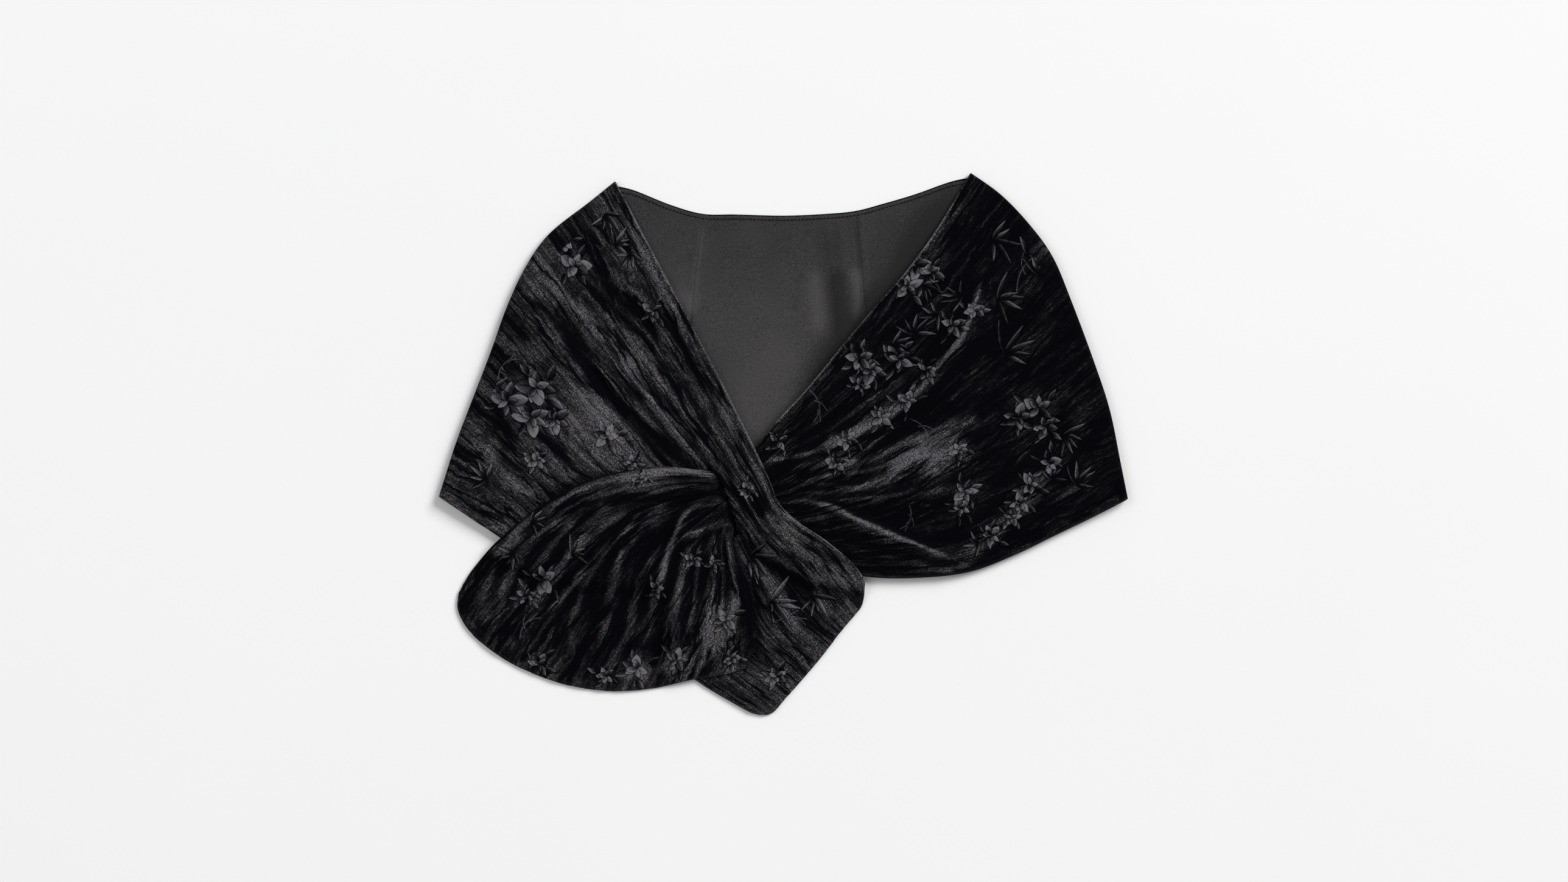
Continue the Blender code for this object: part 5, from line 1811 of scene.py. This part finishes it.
    def stitches(self, neck: Array, thread: Material) -> None:
        """The row of stitches along the neck edge of the lining.

        Args:
            neck: The lining's neck edge.
            thread: The thread's material.
        """
        lengths = np.concatenate([[0.0], np.cumsum(np.linalg.norm(np.diff(neck, axis=0), axis=1))])
        long, wide, high = self.stitch_size
        points, faces = [], []
        for start in np.arange(self.stitch_pitch, lengths[-1] - self.stitch_pitch, self.stitch_pitch):
            ends = [np.array([np.interp(at, lengths, neck[:, axis]) for axis in (0, 1)])
                    for at in (start, start + long)]
            way = (ends[1] - ends[0]) / np.linalg.norm(ends[1] - ends[0])
            out = np.array([-way[1], way[0]])
            first = len(points)
            for end in ends:
                for side, height in self.STITCH_SECTION:
                    flat = end - out * (self.stitch_inset + side * wide)
                    points.append([*flat, BACK_TOP + self.pucker[0] + height * high])
            faces.extend([first + k, first + k + 1, first + k + 5, first + k + 4] for k in range(3))
        values = {"pile": np.full((len(points), 3), self.THREAD_TONE)}
        values |= {name: np.ones(len(points)) for name in ("drawn", "hem")}
        piece = make_object("thread_back_neck", np.array(points), np.array(faces), thread, values)


@dataclass
class RightFront:
    """The right front: folded over the side and gathered where it goes under the band.

    Spans are shares of the way along the panel.

    Attributes:
        column_power: How much closer its columns lie near the neck edge.
        neck_lift: How far its neck edge stands up, in millimetres.
        neck_reach: How far across that reaches, as a share of the width.
        neck_span: Where the neck edge rises, before it settles again at the neck_end.
        bundle_span: Where the cloth is gathered into a bundle.
        wall_span: Where the bundle's wall grows.
        flat_span: How much height creases lose, and where.
    """

    cut: Cut = Cut(0.35, 0.36, 0.0860, Hold.FOLDED)
    strip: Strip = field(default_factory=lambda: Strip(RIGHT_SECTIONS, RIGHT_FOLD, full_width=330.0))
    columns: int = 210
    rows: int = 170
    column_power: float = 1.2
    base_tone: float = 0.28
    neck_lift: float = 6.5
    neck_reach: float = 0.10
    neck_span: Span = (0.03, 0.35)
    neck_end: Span = (0.65, 0.92)
    bundle_span: Span = (0.62, 0.96)
    wall_span: Span = (0.8, 1.0)
    flat_span: tuple[float, Span] = (0.7, (0.85, 1.0))
    fine_span: Span = (0.03, 0.12)
    CRUSH_SEED = 11
    PATTERN_SEED = 21

    def build(self, support: HeightMap, velvet: Material) -> Surface:
        """Makes the panel and its pattern.

        Args:
            support: What it lies on.
            velvet: The velvet.

        Returns:
            Its top face.
        """
        across = np.linspace(0.0, 1.0, self.columns + 1)[None, :] ** self.column_power
        along = np.linspace(FIRST_ROW, 1.0, self.rows + 1)[:, None]
        spots = self.strip.plan(along, across)
        pile = self.strip.pile(spots, across)
        hem = to_end(spots, 1)

        bundle = BUNDLE_RISE * lens(across) * smooth_step(along, *self.bundle_span)
        edge = self.neck_lift * np.exp(-((across / self.neck_reach) ** 2))
        edge = edge * smooth_step(along, *self.neck_span) * (1.0 - smooth_step(along, *self.neck_end))
        loss, where = self.flat_span
        relief = relief_of(RIGHT_CREASES, spots) * (1.0 - loss * smooth_step(along, *where))
        relief = relief + sum(gather_height(gather, along, across) for gather in RIGHT_GATHERS)
        fine = Crush(self.CRUSH_SEED).relief(pile[..., 0] / MM, pile[..., 1] / MM)
        relief = relief + fine * smooth_step(along, *self.fine_span) - HEM_STITCH_DEPTH * hem_line(hem)
        extra = BUNDLE_EXTRA_WALL * lens(across) * smooth_step(along, *self.wall_span)
        upper, lower = support.carry(spots, fold_tops(along, across) + edge + bundle, relief, extra)

        # Painted light and painted shade in the tone: highlights on crests and along the neck edge, shade in
        # valleys, and the listed patches and lines.
        tone = self.base_tone + painted_crest_shading(upper[..., 2]) + edge_tone(hem, hem[:, :1] - hem)
        pile[..., 2] = tone + tone_of(RIGHT_PILE_AND_SHADING_PATCHES, spots) + relief_of(RIGHT_PAINTED_LIGHT_AND_SHADE, spots)
        surface = Surface(upper, pile)
        shell = Shell()
        numbers = shell.add(side_fold(self.strip, Cloth(upper, lower, pile, hem * MM), across[0]))
        shell.skin(numbers[:, ::-1])
        shell.plain.update(numbers[0].tolist() + numbers[-1].tolist())
        piece = shell.build("velvet_right_front", velvet)
        pattern = Pattern(surface, self.PATTERN_SEED).build("pattern_right_front", RIGHT_SPRAYS, velvet)
        self.cut.declare(piece, "right_front", "velvet", ["crepe_lining_right"], [pattern])
        return surface


@dataclass
class PulledEnd:
    """The pulled end: a packed root under the band, then a rolled edge and fanned pleats.

    Spans are shares of the way along the panel.

    Attributes:
        row_power: How much closer its rows lie near the root.
        root_share: How far along its root ends.
        root_blend: How far beyond that it settles on what the rest lies on.
        root_span: Where the root's bundle opens out.
        wall_span: Where the root's wall thins.
        drop_span: Where the panel sinks from the back to the floor.
        roll: Height of the roll along its upper edge, its place across and its softness.
        roll_span: Where the roll rises, before it dies away at the roll_end.
    """

    cut: Cut = Cut(0.26, 0.26, 0.0440, Hold.GATHERED)
    strip: Strip = field(default_factory=lambda: Strip(PULLED_SECTIONS, None, PULLED_HEM, 1.0, 260.0))
    columns: int = 180
    rows: int = 130
    row_power: float = 1.25
    base_tone: float = 0.35
    root_share: float = 0.19
    root_blend: float = 0.12
    root_span: Span = (0.06, 0.42)
    wall_span: Span = (0.0, 0.12)
    drop_span: Span = (0.05, 0.6)
    roll: tuple[float, float, float] = (6.0, 0.14, 0.75)
    roll_span: Span = (0.06, 0.2)
    roll_end: Span = (0.55, 1.0)
    crease_span: Span = (0.08, 0.2)
    fine_span: Span = (0.1, 0.3)
    CRUSH_SEED = 12
    PATTERN_SEED = 22

    def __post_init__(self) -> None:
        """Sets up the grid."""
        self.across = np.linspace(0.0, 1.0, self.columns + 1)[None, :]
        self.along = np.linspace(0.0, 1.0, self.rows + 1)[:, None] ** self.row_power
        self.spots = self.strip.plan(self.along, self.across)
        self.pile = self.strip.pile(self.spots, self.across)
        self.hem = to_end(self.spots, 0)

    def faces(self, support: HeightMap) -> tuple[Array, Array]:
        """The two faces, laid over a height map.

        Args:
            support: What it lies on.

        Returns:
            The points of the top face and of the underside.
        """
        along, across = self.along, self.across
        root = BUNDLE_RISE * lens(across) * (1.0 - smooth_step(along, *self.root_span))
        base = FLOOR_TOP + (FRONT_TOP - FLOOR_TOP) * (1.0 - smooth_step(along, *self.drop_span)) + root
        rise, reach, softness = self.roll
        where = across / reach
        roll = np.sqrt(np.clip(where * (2.0 - where), 0.0, 1.0)) * (where < 1.0)
        roll = roll + (where >= 1.0) * np.exp(-(((where - 1.0) / softness) ** 2))
        roll = rise * roll * smooth_step(along, *self.roll_span) * (1.0 - smooth_step(along, *self.roll_end))
        relief = relief_of(PULLED_CREASES, self.spots) * smooth_step(along, *self.crease_span)
        fine = Crush(self.CRUSH_SEED).relief(self.pile[..., 0] / MM, self.pile[..., 1] / MM)
        relief = relief + roll + fine * smooth_step(along, *self.fine_span)
        extra = BUNDLE_EXTRA_WALL * lens(across) * (1.0 - smooth_step(along, *self.wall_span))
        return support.carry(self.spots, base, relief - HEM_STITCH_DEPTH * hem_line(self.hem), extra)

    def root(self, support: HeightMap) -> Surface:
        """The top face of what lies under the band."""
        return Surface(self.faces(support)[0][:int(self.root_share * self.rows) + 1])

    def build(self, at_root: HeightMap, beyond: HeightMap, velvet: Material) -> None:
        """Makes the panel and its pattern.

        Args:
            at_root: What its root lies on.
            beyond: What the rest lies on.
            velvet: The velvet.
        """
        rows = np.arange(self.rows + 1) / self.rows
        share = smooth_step(rows, self.root_share, self.root_share + self.root_blend)[:, None, None]
        pairs = zip(self.faces(at_root), self.faces(beyond))
        upper, lower = (under_band + (past - under_band) * share for under_band, past in pairs)
        pile = self.pile
        # Painted light and painted shade in the tone: highlights on crests, shade in valleys, and the listed
        # patches and lines.
        tone = self.base_tone + painted_crest_shading(upper[..., 2]) + edge_tone(self.hem, self.hem + HEM_WIDTH)
        pile[..., 2] = tone + tone_of(PULLED_PILE_AND_SHADING_PATCHES, self.spots) + relief_of(PULLED_PAINTED_LIGHT_AND_SHADE, self.spots)
        shell = Shell()
        numbers = shell.add(Cloth(upper, lower, pile, self.hem * MM))
        shell.skin(numbers[:, ::-1])
        shell.plain.update(numbers[0].tolist())
        piece = shell.build("velvet_pulled_end", velvet)
        plants = Pattern(Surface(upper, pile), self.PATTERN_SEED)
        pattern = plants.build("pattern_pulled_end", PULLED_SPRAYS, velvet)
        self.cut.declare(piece, "pulled_end", "velvet", ["velvet_left_front"], [pattern])


@dataclass
class LeftFront:
    """The left front: one strip with a slit, a band on its neck side and a tail beyond.

    Spans are shares of the way along the panel.

    Attributes:
        rows: Steps along it before, beside and past the slit.
        slit: The slit's start and end, counted in sections.
        band_share: The share of the columns, counted from 0 to 1, that the band takes.
        hem_blend: How far across the hem side is raised to the band where they join.
        neck_lift: How far its neck edge stands up, in millimetres.
        neck_reach: How far across that reaches, as a share of the width.
        drop_span: Where the panel sinks from the back to the floor.
    """

    cut: Cut = Cut(0.37, 0.46, 0.0930, Hold.FOLDED)
    strip: Strip = field(default_factory=lambda: Strip(LEFT_SECTIONS, LEFT_FOLD, TAIL_END))
    rows: tuple[int, int, int] = (56, 46, 76)
    slit: Span = (3.68, 5.9)
    band_share: float = 0.35
    band_columns: int = 56
    hem_columns: int = 116
    hem_blend: float = 0.3
    base_tone: float = 0.5
    neck_lift: float = 2.0
    neck_reach: float = 0.06
    neck_span: Span = (0.05, 0.2)
    drop_span: Span = (0.62, 0.92)
    fine_span: Span = (0.03, 0.12)
    CRUSH_SEED = 13
    PATTERN_SEEDS = {"band": 23, "front": 24}

    def __post_init__(self) -> None:
        """Sets up the rows and the columns."""
        before, inside, after = self.rows
        start, end = (section / self.strip.count for section in self.slit)
        self.along = np.concatenate([
            np.linspace(FIRST_ROW, start, before, endpoint=False),
            np.linspace(start, end, inside, endpoint=False),
            np.linspace(end, 1.0, after),
        ])
        self.joined = np.ones(len(self.along), bool)
        self.joined[before + 1:before + inside] = False
        self.band = np.linspace(0.0, self.band_share, self.band_columns + 1)
        self.hem = np.linspace(self.band_share, 1.0, self.hem_columns + 1)

    def across(self, share: Array) -> Array:
        """The share of the width of each column, so that one column follows the slit.

        Args:
            share: The columns, counted from 0 to 1.

        Returns:
            A grid of shares of the width.
        """
        line = curve_through([(x, 0.0) for x in SLIT_LINE], self.along * self.strip.count)[:, :1]
        near = line * share / self.band_share
        far = line + (1.0 - line) * (share - self.band_share) / (1.0 - self.band_share)
        return np.where(share < self.band_share, near, far)

    def side(self, share: Array, support: HeightMap) -> tuple[Cloth, Array]:
        """The band side or the hem side, laid over a height map.

        Args:
            share: Its columns.
            support: What it lies on.

        Returns:
            The cloth and its shares across.
        """
        along, across = self.along[:, None], self.across(share[None, :])
        spots = self.strip.plan(along, across)
        edge = self.neck_lift * np.exp(-((across / self.neck_reach) ** 2))
        edge = edge * smooth_step(along, *self.neck_span)
        settle = smooth_step(along, *self.drop_span)
        base = (fold_tops(along, across) + edge) * (1.0 - settle) + FLOOR_TOP * settle
        pile = self.strip.pile(spots, across)
        width = np.linalg.norm(self.strip.plan(along, 1.0) - self.strip.plan(along, 0.0), axis=-1)
        hem = np.minimum((1.0 - across) * width, to_end(spots, 0))
        relief = relief_of(LEFT_CREASES, spots)
        relief = relief + sum(gather_height(gather, along, across) for gather in BAND_GATHERS)
        fine = Crush(self.CRUSH_SEED).relief(pile[..., 0] / MM, pile[..., 1] / MM)
        relief = relief + fine * smooth_step(along, *self.fine_span)
        upper, lower = support.carry(spots, base, relief - HEM_STITCH_DEPTH * hem_line(hem))
        # Painted light and painted shade in the tone: highlights on crests and along the neck edge, shade in
        # valleys, and the listed patches and lines.
        tone = self.base_tone + painted_crest_shading(upper[..., 2]) + edge_tone(hem, across * width)
        pile[..., 2] = tone + tone_of(LEFT_PILE_AND_SHADING_PATCHES, spots) + relief_of(LEFT_PAINTED_LIGHT_AND_SHADE, spots)
        return Cloth(upper, lower, pile, hem * MM), across

    def build(self, back: HeightMap, over: HeightMap, velvet: Material) -> Surface:
        """Makes the panel and its pattern.

        Args:
            back: What the hem side lies on.
            over: What the band lies on.
            velvet: The velvet.

        Returns:
            The top face of the hem side.
        """
        band, band_across = self.side(self.band, over)
        hem, hem_across = self.side(self.hem, back)
        step = np.where(self.joined, band.upper[:, -1, 2] - hem.upper[:, 0, 2], 0.0)
        shares = np.linspace(0.0, 1.0, len(self.hem))
        rise = step[:, None] * (1.0 - smooth_step(shares, 0.0, self.hem_blend))
        hem.upper[..., 2] += rise
        hem.lower[..., 2] += rise
        tops = {"band": Surface(band.upper, band.pile), "front": Surface(hem.upper, hem.pile)}

        shell = Shell()
        band_numbers = shell.add(side_fold(self.strip, band, band_across[0]))
        hem_numbers = shell.add(side_fold(self.strip, hem, hem_across[0]))
        shared = np.concatenate([np.ones(len(band_numbers) - len(self.along), bool), self.joined])
        hem_numbers[shared, 0] = band_numbers[shared, -1]
        for numbers in (band_numbers, hem_numbers):
            shell.skin(numbers)
            shell.plain.update(numbers[0].tolist())
        piece = shell.build("velvet_left_front", velvet)
        patterns = [
            Pattern(top, self.PATTERN_SEEDS[side]).build(f"pattern_left_{side}", LEFT_SPRAYS, velvet)
            for side, top in tops.items()
        ]
        rests_on = ["crepe_lining_left", "velvet_right_front"]
        self.cut.declare(piece, "left_front", "velvet", rests_on, patterns)
        return tops["front"]


class Lamp(NamedTuple):
    """A square soft light: where it stands and how long its side is, in metres.

    Its share is how much light it brings to a white floor, where 1 makes it pure white.
    """

    name: str
    place: tuple[float, float, float]
    size: float
    share: float


@dataclass(frozen=True)
class Studio:
    """The floor, the soft light and the camera that looks straight down.

    Attributes:
        view_width: Width of what the camera sees on the floor, in metres, round the centre.
        reach: How far the camera sees, in metres.
        room: Strength of the light from all sides.
    """

    view_width: float = 1.3222
    centre: tuple[float, float] = (0.0005, 0.0023)
    lens: float = 85.0
    sensor: float = 36.0
    reach: float = 50.0
    floor_side: float = 6.0
    lamps: tuple[Lamp, ...] = (
        Lamp("key", (9.3, 7.8, 8.4), 6.6, 0.62),
        Lamp("fill", (-4.0, 1.0, 4.6), 3.4, 0.15),
    )
    room: float = 0.36

    def camera(self) -> None:
        """Makes the camera, level with the photograph's frame."""
        data = bpy.data.cameras.new("camera")
        data.lens, data.sensor_width, data.clip_end = self.lens, self.sensor, self.reach
        camera = bpy.data.objects.new("camera", data)
        camera.location = (*self.centre, self.view_width * self.lens / self.sensor)
        bpy.context.scene.collection.objects.link(camera)
        bpy.context.scene.camera = camera

    @staticmethod
    def light(lamp: Lamp) -> None:
        """Adds a soft light that looks at the wrap.

        Args:
            lamp: The light.
        """
        data = bpy.data.lights.new(lamp.name, "AREA")
        away = math.hypot(*lamp.place)
        data.shape, data.size = "SQUARE", lamp.size
        data.energy = lamp.share * math.pi**2 * away**3 / lamp.place[2]
        light = bpy.data.objects.new(lamp.name, data)
        light.location = lamp.place
        light.rotation_euler = Vector(lamp.place).to_track_quat("Z", "Y").to_euler()
        bpy.context.scene.collection.objects.link(light)

    def floor(self) -> None:
        """Lays the floor."""
        half = self.floor_side / 2.0
        mesh = bpy.data.meshes.new("floor")
        corners = [(-half, -half, 0), (half, -half, 0), (half, half, 0), (-half, half, 0)]
        mesh.from_pydata(corners, [], [(0, 1, 2, 3)])
        mesh.materials.append(FloorFinish().build())
        floor = bpy.data.objects.new("floor", mesh)
        bpy.context.scene.collection.objects.link(floor)

    def build(self) -> None:
        """Sets up camera, floor, lights and the light of the room."""
        self.camera()
        self.floor()
        for lamp in self.lamps:
            self.light(lamp)
        world = bpy.data.worlds.new("studio")
        world.use_nodes = True
        sky = world.node_tree.nodes["Background"].inputs
        sky["Color"].default_value = (1.0, 1.0, 1.0, 1.0)
        sky["Strength"].default_value = self.room
        bpy.context.scene.world = world
        bpy.context.scene.view_settings.view_transform = "Standard"


def main() -> None:
    """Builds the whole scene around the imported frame."""
    logging.basicConfig(level=logging.INFO, format="%(message)s")
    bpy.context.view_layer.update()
    Studio().build()
    velvet, lining = VelvetFinish().build(), LiningFinish().build()
    left, right, pulled = LeftFront(), RightFront(), PulledEnd()

    back_top = Back(left.strip, right.strip).build(velvet, lining)
    on_back = HeightMap([back_top], MAP_SPREAD)
    right_top = right.build(on_back, velvet)
    hem_top = Surface(left.side(left.hem, on_back)[0].upper)
    at_root = HeightMap([back_top, hem_top], MAP_SPREAD)
    on_right = HeightMap([back_top, right_top, pulled.root(at_root)], WIDE_SPREAD)
    hem_top = left.build(on_back, on_right, velvet)
    pulled.build(at_root, HeightMap([back_top, hem_top], WIDE_SPREAD), velvet)


if __name__ == "__main__":
    main()
